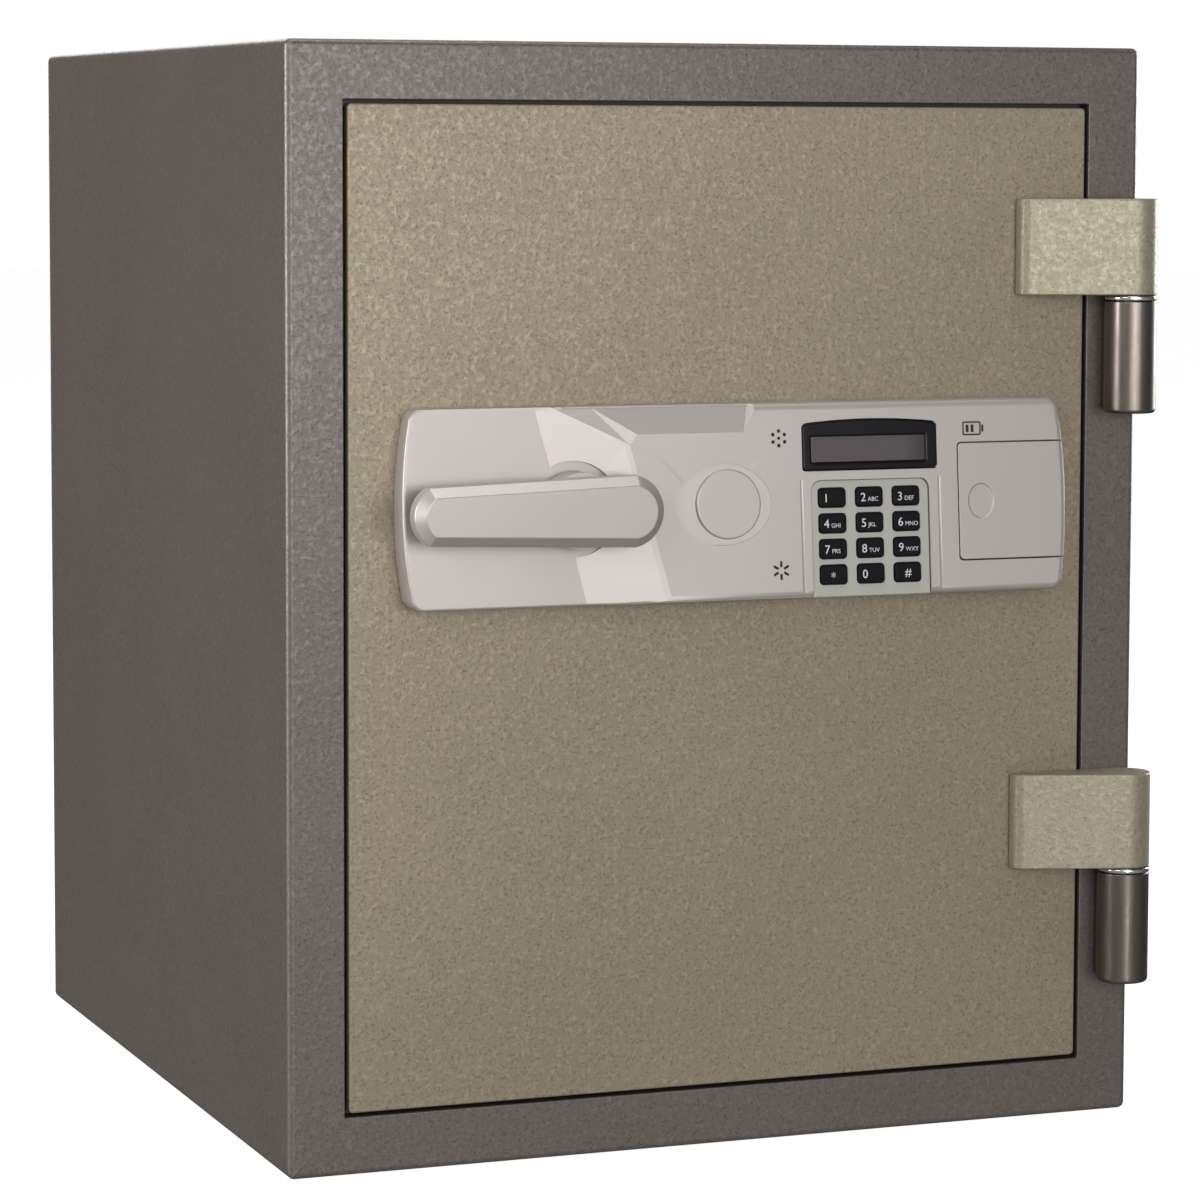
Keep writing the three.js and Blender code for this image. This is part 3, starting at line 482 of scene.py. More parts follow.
KEYPAD_PLASTIC = moulded("keypad_plastic", tone(168, 167, 158), 0.45, depth=0.008, uneven=0.015)
KEY_RUBBER = moulded("key_rubber", tone(13, 11, 15), 0.5, depth=0.01, uneven=0.1, specular=0.12)
KEY_PRINT = moulded("key_print", tone(206, 206, 212), 0.6, uneven=0.03)
DARK_PRINT = moulded("dark_print", tone(24, 22, 26), 0.6, uneven=0.1)
BLACK_RUBBER = moulded("black_rubber", tone(30, 30, 31), 0.75, grain=600.0, depth=0.05, uneven=0.15)
BEZEL_PLASTIC = moulded("bezel_plastic", tone(13, 10, 15), 0.3, depth=0.006, uneven=0.1, specular=0.2)
CIRCUIT = moulded("circuit", tone(28, 88, 56), 0.45, grain=400.0, uneven=0.15)


def display_material():
    """An unlit liquid-crystal display under gloss, whose colour darkens towards its right end as painted
    shade.
    """
    shader = Shader("display_glass")
    window = box("display_window")
    across = shader.node("ShaderNodeSeparateXYZ", {0: shader.place}).outputs[0]
    left, right = point(window.left, 0, 0).x, point(window.right, 0, 0).x
    # Painted shade: the colour darkens over the window's right fifth.
    end = shader.ranged(across, left + 0.8 * (right - left), right, 0.0, 1.0)
    lines = shader.noise(1500.0, 1.0, 0.5, (1.0, 1.0, 0.05))
    grey_with_painted_shade = shader.mixed(end, tone(90, 82, 84), tone(62, 60, 61))
    lined = shader.mixed(shader.ranged(lines, 0.3, 0.7, 0.0, 0.25), grey_with_painted_shade, tone(74, 69, 70))
    return shader.set(Base_Color=lined, Roughness=shader.ranged(lines, 0.3, 0.7, 0.12, 0.2),
                      Specular_IOR_Level=0.3)


def cell_material():
    """A dry cell's sleeve: a dark wrapper with a copper-coloured band at its positive end."""
    shader = Shader("cell_sleeve")
    cell = box("battery_1")
    height = shader.node("ShaderNodeSeparateXYZ", {0: shader.place}).outputs[2]
    edge = point(0, 0, cell.bottom + 0.68 * (cell.top - cell.bottom)).z
    banded = shader.mixed(
        shader.ranged(height, edge, edge + 0.0004, 0.0, 1.0), tone(38, 42, 52), tone(176, 116, 66))
    scuffs = shader.noise(160.0, 5.0, 0.7)
    worn = shader.mixed(shader.ranged(scuffs, 0.55, 0.8, 0.0, 0.3), banded, tone(150, 150, 152))
    return shader.set(Base_Color=worn, Roughness=shader.ranged(scuffs, 0.3, 0.7, 0.25, 0.42),
                      Metallic=0.5, Normal=shader.bump(scuffs, 0.02))


DISPLAY_GLASS = display_material()
CELL_SLEEVE = cell_material()


# ---------------------------------------------------------------- cabinet

CASE_EDGE = 3.0
CASE_CORNER = 3.5
RIM_EDGE = 0.45         # rounding of the rim where it turns into the door opening
CASE_SHEET = 1.5


def case_shell():
    """The folded case: outside walls, front rim, the opening's rounded edge, and the walls' insides."""
    case = box("outer_case")
    jamb = box("door_jamb")
    opening = Box(jamb.left + CASE_SHEET, jamb.right - CASE_SHEET, 0, 0,
                  jamb.bottom + CASE_SHEET, jamb.top - CASE_SHEET)
    outer = rectangle(case.left, case.right, case.bottom, case.top, CASE_CORNER)
    mouth = rectangle(opening.left, opening.right, opening.bottom, opening.top, 0.6)
    inside = rectangle(case.left + CASE_SHEET, case.right - CASE_SHEET,
                       case.bottom + CASE_SHEET, case.top - CASE_SHEET, CASE_CORNER - CASE_SHEET)
    levels = [(outer, case.back)]
    levels += round_levels(outer, case.front, -1, CASE_EDGE, 8)
    for step in range(5):
        angle = math.pi / 2 * step / 4
        levels.append((
            inset(mouth, RIM_EDGE * (math.sin(angle) - 1)),
            case.front + RIM_EDGE * (1 - math.cos(angle))))
    levels += [(mouth, case.front + CASE_SHEET), (inside, case.front + CASE_SHEET),
               (inside, case.back)]
    shell = loft("case_shell", levels, from_front, ring=True)
    plugs = [box("anchor_plug_left"), box("anchor_plug_right")]
    holes = [prism("hole", circle((p.left + p.right) / 2, (p.front + p.back) / 2, 6.0, 40),
                   -1, CASE_SHEET + 2, from_above) for p in plugs]
    cut(shell, *holes)
    finish_piece(shell, "cabinet", CASE_PAINT, ["outer_case"])
    for x, z, across, up in ((case.left, case.bottom, 1, 1), (case.right, case.bottom, -1, 1),
                             (case.left, case.top, 1, -1), (case.right, case.top, -1, -1)):
        corner_seam(x, z, across, up)


def corner_seam(x, z, across, up):
    """The dressed weld across a corner of the rim, where two folded flanges meet."""
    start, length, width, rise = 1.8, 9.0, 0.5, 0.14
    outline = [Vector((start, start - width)), Vector((start + length, start + length - width)),
               Vector((start + length, start + length + width)), Vector((start, start + width))]
    placed = [Vector((x + across * u, z + up * v)) for u, v in outline]
    if across * up < 0:
        placed.reverse()
    name = "corner_seam_{}_{}".format("left" if across > 0 else "right", "lower" if up > 0 else "upper")
    seam = soft_prism(name, placed, 0.8, -rise, 0.05, 0.14, from_front, 3)
    finish_piece(seam, "cabinet", CASE_PAINT)


def back_plate():
    """The welded back plate, its edges rounded."""
    back = box("back_panel")
    outline = rectangle(back.left, back.right, back.bottom, back.top, CASE_CORNER)
    plate = soft_prism("back_plate", outline, back.front, back.back, 0.2, 2.6, from_front, 6)
    finish_piece(plate, "cabinet", CASE_PAINT, ["back_panel"])


LUG_TIP = 8.0         # thickness of a hinge lug at its free end; it thickens towards the barrel
LUG_CORNER = 6.0
LUG_EDGE = 0.8
PIN_CLEARANCE = 0.4
RING_STANDS_OUT = 0.2
BARREL_EDGE = 2.0


def pin_bore(axis, pin_radius, bottom, top):
    return prism("bore", circle(axis.x, axis.y, pin_radius + PIN_CLEARANCE, 40), bottom, top, from_above)


def hinge(level):
    """One hinge: the door's cast lug, the ring and the barrel welded to the rim."""
    lug = box(f"hinge_block_{level}")
    ring = box(f"hinge_washer_{level}")
    barrel = box(f"hinge_barrel_{level}")
    pin = box(f"hinge_pin_{level}")
    axis = axis_of("door_swing")
    radius = barrel.right - axis.x
    pin_radius = (pin.right - pin.left) / 2

    reach = Vector((axis.x - lug.left, axis.y + LUG_TIP))
    slope = math.atan2(reach.y, reach.x) - math.asin(radius / reach.length)
    outline = rounded([
        (lug.left, lug.back, 0.0),
        (lug.left, -LUG_TIP, LUG_CORNER),
        (axis.x + radius * math.sin(slope), axis.y - radius * math.cos(slope), 0.0)])
    turns = 36
    for step in range(1, turns + 1):
        angle = slope - math.pi / 2 + (math.pi - slope) * step / turns
        outline.append(Vector((axis.x + radius * math.cos(angle), axis.y + radius * math.sin(angle))))
    body = prism(f"hinge_lug_{level}", outline, lug.bottom, lug.top, from_above)
    soften(body, LUG_EDGE, 4, 50)
    cut(body, pin_bore(axis, pin_radius, lug.bottom - 1, pin.top + 1))
    finish_piece(body, "door", LUG_PAINT_WITH_PAINTED_LIGHT, [f"hinge_block_{level}"])

    rim = circle(axis.x, axis.y, radius + RING_STANDS_OUT, 64)
    washer = soft_prism(f"hinge_ring_{level}", rim, ring.bottom, ring.top, 0.9, 0.9, from_above, 5)
    cut(washer, pin_bore(axis, pin_radius, ring.bottom - 1, ring.top + 1))
    finish_piece(washer, "cabinet", CHROME, [f"hinge_washer_{level}"])

    outline = circle(axis.x, axis.y, radius, 72)
    knuckle = soft_prism(
        f"hinge_knuckle_{level}", outline, barrel.bottom, barrel.top, BARREL_EDGE, 0.5, from_above, 6)
    foot = block("foot", axis.x - 9, axis.x + 7, axis.y, barrel.back, barrel.bottom + 3,
                 barrel.top - 3)
    join(knuckle, foot)
    cut(knuckle, pin_bore(axis, pin_radius, pin.bottom - 0.3, barrel.top + 1))
    finish_piece(knuckle, "cabinet", BARREL_STEEL, [f"hinge_barrel_{level}"])


# ---------------------------------------------------------------- door


SPINDLE_HOLE = 7.0
KEY_LOCK_HOLE = 10.5


def door_plate():
    plate = box("door_face")
    outline = rectangle(plate.left, plate.right, plate.bottom, plate.top, 2.0)
    made = soft_prism("door_plate", outline, plate.back, plate.front, 0.3, 0.9, from_front, 6)
    spindle = axis_of("handle_turn")
    lock = box("key_cylinder")
    holes = [circle(spindle.x, spindle.z, SPINDLE_HOLE, 40),
             circle((lock.left + lock.right) / 2, (lock.bottom + lock.top) / 2, KEY_LOCK_HOLE, 40)]
    cut(made, *(prism("hole", h, plate.front - 1, plate.back + 1, from_front) for h in holes))
    finish_piece(made, "door", DOOR_PAINT, ["door_face"])


COVER_FIELD = 26      # from the inside cover's edge to its pressed field
COVER_SCREW = 12      # from its edge to the middle of a screw
SCREW_HEAD = 4.0
SLOT_REACH = 2.1
SLOT_HALF_WIDTH = 0.4


def inside_cover():
    """The cover over the bolt work, with a pressed field and eight screws."""
    cover = box("inner_cover")
    outline = rectangle(cover.left, cover.right, cover.bottom, cover.top, 8.0)
    plate = soft_prism("inside_cover", outline, cover.front, cover.back, 0.2, 1.4, from_front)
    field = rectangle(cover.left + COVER_FIELD, cover.right - COVER_FIELD,
                      cover.bottom + COVER_FIELD, cover.top - COVER_FIELD, 10.0)
    sunk = loft("field", [(field, cover.back + 1), (field, cover.back),
                          (inset(field, 3.0), cover.back - 1.6)], from_front)
    cut(plate, sunk)
    finish_piece(plate, "door", LINER_PAINT, ["inner_cover"])
    middle = (cover.left + cover.right) / 2
    centre = (cover.bottom + cover.top) / 2
    places = [(x, z) for x in (cover.left + COVER_SCREW, middle, cover.right - COVER_SCREW)
              for z in (cover.bottom + COVER_SCREW, centre, cover.top - COVER_SCREW)
              if (x, z) != (middle, centre)]
    for number, (x, z) in enumerate(places, 1):
        head = soft_prism(f"cover_screw_{number}", circle(x, z, SCREW_HEAD, 40), cover.back - 1.0,
                          cover.back + 1.5, 0.1, 1.1, from_front)
        slots = [rectangle(x - across, x + across, z - up, z + up)
                 for across, up in ((SLOT_REACH, SLOT_HALF_WIDTH), (SLOT_HALF_WIDTH, SLOT_REACH))]
        cut(head, *(prism("slot", s, cover.back + 0.5, cover.back + 3, from_front) for s in slots))
        finish_piece(head, "door", STEEL)


def bolts():
    for number in (1, 2, 3):
        bolt = box(f"live_bolt_{number}")
        y, z = (bolt.front + bolt.back) / 2, (bolt.bottom + bolt.top) / 2
        bar = soft_prism(f"bolt_bar_{number}", circle(y, z, (bolt.top - bolt.bottom) / 2, 64),
                         bolt.right, bolt.left, 0.3, 1.5, from_side)
        finish_piece(bar, "bolt_work", CHROME, [f"live_bolt_{number}"])
    for level in ("lower", "upper"):
        lug = box(f"dead_bolt_{level}")
        bar = block(f"dead_bar_{level}", *lug)
        soften(bar, 1.2, 4)
        finish_piece(bar, "door", STEEL, [f"dead_bolt_{level}"])


# ---------------------------------------------------------------- lock panel

PANEL_LOW = 13.7        # the panel's thickness around the handle, halfway up
PANEL_HIGH = 18.5       # the panel's thickness at its keypad end, halfway up
RAMP_HEAD = 17.8        # where the ramp's lip begins
RIDGE_FOOT = 14.6       # the ridge's height at the panel's top edge, where it leaves the ramp
RECESS_FOOT = 14.9      # the sloping recess's height at the panel's top edge
PANEL_EDGE = 3.8        # rounding of the keypad end's outer edges
LOW_EDGE = 1.3          # rounding of the handle end's outer edges
SHARP_EDGE = 0.35
PANEL_BACK = 0.3
PANEL_CORNER = 6.0
BULGE_LEFT = 4.5
BULGE_RIGHT = 3.4
AHEAD = -30             # in front of everything on the door, where the cutting tools begin
SEAT = 4.0              # how far below the panel's front the display and keypad seats go
HANDLE_POCKET = 22.3
KEY_CYLINDER_HOLE = 10.0
BAY_CORNER = 2.2


def bulge(v, height, amount):
    share = (v - height / 2) / (height / 2)
    return amount * (1 - share * share)


def panel_outline(panel):
    """The panel's front outline, whose two ends bow outwards."""
    height = panel.top - panel.bottom
    left, right = panel.left + BULGE_LEFT, panel.right - BULGE_RIGHT
    rows = [height * i / 12 for i in range(2, 11)]
    right_side = [(right + bulge(v, height, BULGE_RIGHT), panel.bottom + v, 0.0) for v in rows]
    left_side = [(left - bulge(v, height, BULGE_LEFT), panel.bottom + v, 0.0) for v in reversed(rows)]
    return rounded([
        (left, panel.bottom, PANEL_CORNER), (right, panel.bottom, PANEL_CORNER), *right_side,
        (right, panel.top, PANEL_CORNER), (left, panel.top, PANEL_CORNER), *left_side])


def panel_relief(panel):
    """The faceted front surface: low field, ramp and its lip, ridge, sloping recess, high field.

    Each place is (across from the panel's left end, up from its bottom, height off the door)."""
    high = PANEL_HIGH + 0.02    # the rounded outline trims it to PANEL_HIGH
    width, tall, over = panel.right - panel.left, panel.top - panel.bottom, 10.0
    places = {
        "low_left": (-over, 0, PANEL_LOW), "low_left_top": (-over, tall, PANEL_LOW),
        "foot": (88.4, 0, PANEL_LOW), "foot_top": (64.0, tall, PANEL_LOW),
        "lip": (126.2, 0, RAMP_HEAD), "lip_top": (107.0, 73.2, RAMP_HEAD),
        "head": (129.0, 0, high), "head_top": (109.2, 73.9, high),
        "ridge_left": (72.2, tall, RIDGE_FOOT), "ridge_right": (90.9, tall, RECESS_FOOT),
        "recess_left": (113.3, 78.4, high), "recess_right": (166.1, 78.5, high),
        "recess_foot": (169.2, tall, RECESS_FOOT), "recess_end": (173.5, tall, high),
        "high_right": (width + over, 0, high), "high_right_top": (width + over, tall, high),
    }
    facets = [
        ("low_left", "foot", "foot_top", "low_left_top"),
        ("foot", "lip", "lip_top", "ridge_left", "foot_top"),
        ("lip", "head", "head_top", "lip_top"),
        ("ridge_left", "lip_top", "head_top", "ridge_right"),
        ("head_top", "recess_left", "ridge_right"),
        ("ridge_right", "recess_left", "recess_right", "recess_foot"),
        ("recess_foot", "recess_right", "recess_end"),
        ("head", "high_right", "high_right_top", "recess_end", "recess_right", "recess_left",
         "head_top"),
    ]
    lower_row = ["low_left", "foot", "lip", "head", "high_right"]
    upper_row = ["low_left_top", "foot_top", "ridge_left", "ridge_right", "recess_foot",
                 "recess_end", "high_right_top"]
    for row, shift in ((lower_row, -over), (upper_row, over)):
        for name in row:
            across, up, height = places[name]
            places[name + "_out"] = (across, up + shift, height)
        for first, second in zip(row, row[1:]):
            facets.append((first, second, second + "_out", first + "_out"))
    names = list(places)
    vertices = [point(panel.left + u, -h, panel.bottom + v) for u, v, h in places.values()]
    faces = [[names.index(name) for name in facet] for facet in facets]
    relief = mesh_object("relief", vertices, faces)
    floor_y = point(0, 5, 0).y

    def thicken(bm):
        grown = bmesh.ops.extrude_face_region(bm, geom=bm.faces[:])["geom"]
        for element in grown:
            if isinstance(element, bmesh.types.BMVert):
                element.co.y = floor_y
        bmesh.ops.recalc_face_normals(bm, faces=bm.faces)

    edit(relief, thicken)
    return relief


def panel_blank(name, panel):
    """The panel's solid form, before anything is cut into it: softly rounded at the keypad end."""
    outline = panel_outline(panel)
    levels = [(outline, -PANEL_BACK)] + round_levels(outline, -PANEL_HIGH, -1, PANEL_EDGE, 8)
    blank = loft(name, levels, from_front)
    common(blank, panel_relief(panel))
    soften(blank, LOW_EDGE, 5, 50, lambda p: p.y < -PANEL_LOW + 3, clamp=False)
    return blank


def battery_bay(panel, cover, gap, depth):
    """The prism that the battery cover fills, open at the panel's right end."""
    outline = rounded([
        (cover.left - gap, cover.bottom - gap, BAY_CORNER), (panel.right + 12, cover.bottom - gap, 0.0),
        (panel.right + 12, cover.top + gap, 0.0), (cover.left - gap, cover.top + gap, BAY_CORNER)])
    return prism("bay", outline, panel.front - 5, depth, from_front)


def bezel_outline(bezel, grow):
    """The display bezel's outline, whose top edge is a low arch."""
    left, right = bezel.left - grow, bezel.right + grow
    bottom, top = bezel.bottom - grow, bezel.top + grow
    arch = 1.9
    middle, half = (left + right) / 2, (right - left) / 2
    shares = (0.8, 0.6, 0.4, 0.2, 0, -0.2, -0.4, -0.6, -0.8)
    crown = [(middle + half * s, top - arch * s * s, 0.0) for s in shares]
    return rounded([(left, bottom, 1.6), (right, bottom, 1.6), (right, top - arch, 2.6),
                    *crown, (left, top - arch, 2.6)], 8)


def dish_tool(cap):
    """The shallow oval around the key cap; its floor is deepest towards the handle."""
    x, z = (cap.left + cap.right) / 2 - 2.4, (cap.bottom + cap.top) / 2
    half_width, half_height = 24.0, 19.0
    outline = ellipse(x, z, half_width, half_height)
    deep, shallow = 1.5, 0.25

    def slanted(u, v, at):
        share = (u - (x - half_width)) / (2 * half_width)
        return point(u, (deep + (shallow - deep) * share) * at - PANEL_HIGH, v)

    return loft("dish", [(outline, -3.0), (outline, 1.0)], slanted)


DOT_RADIUS = 0.9
MIDDLE_DOT = 0.8
DOT_RING = 3.4
SPOKE_INNER, SPOKE_OUTER = 1.6, 4.4
SPOKE_HALF_WIDTH = 0.6


def hole_patterns(panel):
    """The two sounder patterns: six dots round a seventh, and six spokes."""
    x, z = panel.left + 183.8, panel.bottom + 75.3
    tools = [circle(x, z, MIDDLE_DOT, 16)]
    spokes = []
    for i in range(6):
        angle = math.radians(90 + 60 * i)
        tools.append(circle(x + DOT_RING * math.cos(angle), z + DOT_RING * math.sin(angle),
                            DOT_RADIUS, 16))
        along = Vector((math.cos(angle), math.sin(angle)))
        side = Vector((-along.y, along.x)) * SPOKE_HALF_WIDTH
        middle = Vector((panel.left + 183.4, panel.bottom + 13.7))
        inner, outer = middle + along * SPOKE_INNER, middle + along * SPOKE_OUTER
        spokes.append([inner - side, outer - side, outer + side, inner + side])
    return tools + spokes


def lock_panel():
    panel = even_box("lock_panel")
    cover = even_box("battery_cover")
    bezel = even_box("display_bezel")
    pad = even_box("keypad_plate")
    cap = even_box("key_cap")
    lock = box("key_cylinder")
    board = even_box("circuit_board")
    spindle = axis_of("handle_turn")
    body = panel_blank("panel_shell", panel)

    pad_corner = 5.0
    pad_pocket = rounded([
        (pad.left - 0.3, panel.bottom - 5, 0.0), (pad.right + 0.3, panel.bottom - 5, 0.0),
        (pad.right + 0.3, pad.top + 0.3, pad_corner), (pad.left - 0.3, pad.top + 0.3, pad_corner)])
    hollow_front = 3.5 - PANEL_HIGH
    tools = [
        prism("pocket", circle(spindle.x, spindle.z, HANDLE_POCKET), AHEAD, -PANEL_LOW - 0.04, from_front),
        dish_tool(cap),
        prism("pad", pad_pocket, AHEAD, SEAT - PANEL_HIGH, from_front),
        prism("display", bezel_outline(bezel, 0.35), AHEAD, SEAT - PANEL_HIGH, from_front),
        battery_bay(panel, cover, 0.65, -1.6),
    ]
    groove_radius, groove_depth = 1.5, 0.22
    for x in (pad.left - 5.0, pad.right + 5.6):
        tools.append(prism("groove", circle(x, groove_depth - groove_radius - PANEL_HIGH,
                                            groove_radius, 40), panel.bottom - 3, pad.top + 0.8,
                           from_above))
    cut(body, *tools)
    pocket_reach = 25.0         # the pocket's own rim stays crisp
    soften(body, SHARP_EDGE, 3, 38, lambda p: p.y < -PANEL_LOW - 0.5
           and math.hypot(p.x - spindle.x, p.z - spindle.z) > pocket_reach)
    cut(body,
        prism("lock", circle((lock.left + lock.right) / 2, (lock.bottom + lock.top) / 2,
                             KEY_CYLINDER_HOLE, 64), AHEAD, 1, from_front),
        prism("spindle", circle(spindle.x, spindle.z, SPINDLE_HOLE, 40), AHEAD, 1, from_front),
        block("hollow", board.left - 1, cover.left - 1.5, hollow_front, 1, board.bottom - 2,
              board.top + 2))
    patterns = hole_patterns(panel)
    cut(body, *(prism("hole", p, AHEAD, hollow_front + 1, from_front) for p in patterns))
    finish_piece(wedge(body), "door", PANEL_PLASTIC, ["lock_panel"])
    for number, pattern in enumerate(patterns):
        plug = prism(f"sounder_hole_{number + 1}", inset(pattern, 0.02), 0.6 - PANEL_HIGH,
                     3.0 - PANEL_HIGH, from_front)
        finish_piece(wedge(plug), "door", BLACK_RUBBER)
    battery_sign(cover)


def battery_sign(cover):
    """A printed battery pictogram above the battery cover."""
    left, bottom = cover.left + 2.6, cover.top + 3.6
    width, height, line, proud = 9.7, 6.6, 0.75, 0.06
    front, back = -PANEL_HIGH - proud, 0.2 - PANEL_HIGH
    frame_outline = rectangle(left, left + width, bottom, bottom + height, 0.9)
    sign = prism("battery_sign", frame_outline, back, front, from_front)
    cut(sign, prism("hole", rectangle(left + line, left + width - line, bottom + line,
                                      bottom + height - line, 0.3), back + 1, front - 1, from_front))
    finish_piece(wedge(sign), "door", DARK_PRINT)
    tip = prism("battery_sign_tip", rectangle(left + width + 0.3, left + width + 1.4, bottom + 1.6,
                                              bottom + height - 1.6, 0.3), back, front, from_front)
    finish_piece(wedge(tip), "door", DARK_PRINT)
    for bar in range(2):
        x = left + 1.8 + 2.6 * bar
        mark = prism(f"battery_sign_bar_{bar + 1}", rectangle(x, x + 1.5, bottom + 1.5,
                                                              bottom + height - 1.5), back, front,
                     from_front)
        finish_piece(wedge(mark), "door", DARK_PRINT)


def battery_lid():
    """The sliding cover: the panel's own skin over the bay, with a shallow oval thumb mark."""
    panel = even_box("lock_panel")
    cover = even_box("battery_cover")
    lid = panel_blank("battery_lid", panel)
    common(lid, battery_bay(panel, cover, 0.0, cover.back))
    cut(lid, block("inside", cover.left - 5, cover.right - 3.5, 1.8 - PANEL_HIGH, 1,
                   cover.bottom - 5, cover.top + 5))
    x, z = cover.left + 11.55, (cover.bottom + cover.top) / 2
    mark = ellipse(x, z, 6.65, 8.25)
    cut(lid, loft("thumb", [(mark, -PANEL_HIGH - 2), (mark, -PANEL_HIGH),
                            (inset(mark, 0.3), 0.6 - PANEL_HIGH)], from_front))
    soften(lid, 0.3, 3, 38, lambda p: p.y < -PANEL_LOW)
    finish_piece(wedge(lid), "battery_cover", PANEL_PLASTIC, ["battery_cover"])


def cells():
    for number in range(1, 5):
        cell = box(f"battery_{number}")
        x, y = (cell.left + cell.right) / 2, (cell.front + cell.back) / 2
        radius = (cell.right - cell.left) / 2
        nub = 1.9
        body = soft_prism(f"cell_{number}", circle(x, y, radius, 48), cell.bottom, cell.top - 1.4,
                          0.5, 0.5, from_above, 4)
        finish_piece(body, "door", CELL_SLEEVE, [f"battery_{number}"])
        contact = soft_prism(f"cell_contact_{number}", circle(x, y, nub, 32), cell.top - 1.5,
                             cell.top, 0.05, 0.4, from_above, 4)
        finish_piece(contact, "door", STEEL)


def key_cap():
    cap = even_box("key_cap")
    x, z = (cap.left + cap.right) / 2, (cap.bottom + cap.top) / 2
    outline = circle(x, z, (cap.right - cap.left) / 2)
    lid = soft_prism("lock_cap", outline, cap.back, cap.front, 0.1, 0.8, from_front)
    finish_piece(wedge(lid), "cap", PANEL_PLASTIC, ["key_cap"])


# ---------------------------------------------------------------- display and keypad


def display():
    bezel = even_box("display_bezel")
    window = even_box("display_window")
    face = bezel_outline(bezel, 0.0)
    surround = soft_prism("bezel_frame", face, bezel.back, bezel.front, 0.2, 0.9, from_front)
    opening = rectangle(window.left - 0.2, window.right + 0.2, window.bottom - 0.2, window.top + 0.2, 0.5)
    funnel = loft("funnel", [(opening, window.back + 3), (opening, window.front - 0.15),
                             (inset(opening, -1.1), bezel.front - 0.01),
                             (inset(opening, -1.1), bezel.front - 2)], from_front)
    cut(surround, funnel)
    soften(surround, 0.25, 3, 30, lambda p: p.y < window.front)
    finish_piece(wedge(surround), "door", BEZEL_PLASTIC, ["display_bezel"])
    pane = rectangle(window.left, window.right, window.bottom, window.top, 0.4)
    glass = soft_prism("display_glass", pane, window.back, window.front, 0.05, 0.1, from_front, 3)
    finish_piece(wedge(glass), "door", DISPLAY_GLASS, ["display_window"])


KEY_LETTERS = {"2": "ABC", "3": "DEF", "4": "GHI", "5": "JKL", "6": "MNO", "7": "PRS", "8": "TUV",
               "9": "WXY"}
KEY_SIGNS = {"star": "*", "hash": "#"}


def printed(name, words, material, body):
    """Flat printed signs from (text, x, z, height, y), as one mesh that rides on a body."""
    made = None
    for text, x, z, height, y in words:
        curve = bpy.data.curves.new(name, "FONT")
        curve.body = text
        curve.size = height * MM / 0.7
        curve.extrude = 0.04 * MM
        curve.resolution_u = 4
        letter = bpy.data.objects.new(name, curve)
        scene.collection.objects.link(letter)
        letter.rotation_euler = (math.pi / 2, 0, 0)
        letter.location = point(x, y, z)
        bpy.context.view_layer.update()
        mesh = bpy.data.meshes.new_from_object(letter.evaluated_get(bpy.context.evaluated_depsgraph_get()))
        mesh.transform(letter.matrix_world)
        bpy.data.objects.remove(letter)
        bpy.data.curves.remove(curve)
        if made is None:
            made = bpy.data.objects.new(name, mesh)
            scene.collection.objects.link(made)
            continue

        def add(bm):
            bm.from_mesh(mesh)

        edit(made, add)
    made.data.materials.clear()
    made.data.materials.append(material)
    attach(wedge(made), body)


def keypad():
    panel = even_box("lock_panel")
    pad = even_box("keypad_plate")
    outline = rounded([
        (pad.left, panel.bottom + 0.5, 0.4), (pad.right, panel.bottom + 0.5, 0.4),
        (pad.right, pad.top, 5.0), (pad.left, pad.top, 5.0)])
    plate = soft_prism("pad_plate", outline, pad.back, pad.front - 0.2, 0.1, 0.45, from_front, 4)
    names = [str(n) for n in range(10)] + ["star", "hash"]
    windows = []
    for name in names:
        key = even_box(f"key_{name}")
        grow = 0.3
        windows.append(prism("window", rectangle(key.left - grow, key.right + grow, key.bottom - grow,
                                                 key.top + grow, 2.1, 6), AHEAD, 0, from_front))
    cut(plate, *windows)
    soften(plate, 0.2, 2, 50, lambda p: p.y < pad.front + 0.1)
    finish_piece(wedge(plate), "door", KEYPAD_PLASTIC, ["keypad_plate"])
    for name in names:
        key = even_box(f"key_{name}")
        outline = rectangle(key.left, key.right, key.bottom, key.top, 1.9, 8)
        button = soft_prism(f"button_top_{name}", outline, key.back, key.front, 0.1, 0.9, from_front)
        body = f"button_{name}"
        finish_piece(wedge(button), body, KEY_RUBBER, [f"key_{name}"])
        sign = KEY_SIGNS.get(name, name)
        middle = (key.bottom + key.top) / 2
        y = key.front - 0.01
        if name in KEY_SIGNS:
            words = [(sign, key.left + 5.2, middle - (2.9 if name == "star" else 1.9), 4.0, y)]
        else:
            words = [(sign, key.left + 2.2, middle - 2.0, 4.0, y)]
        if name in KEY_LETTERS:
            words.append((KEY_LETTERS[name], key.left + 5.9, middle - 1.9, 2.0, y))
        printed(f"key_print_{name}", words, KEY_PRINT, body)


# ---------------------------------------------------------------- handle


BAR_CHAMFER = 4.5
HUB_END = (16.8, 16.5)      # the end arc's radius, and half the bar's height there
FREE_END = (15.4, 13.2)
COLLAR_BORE = 5.4


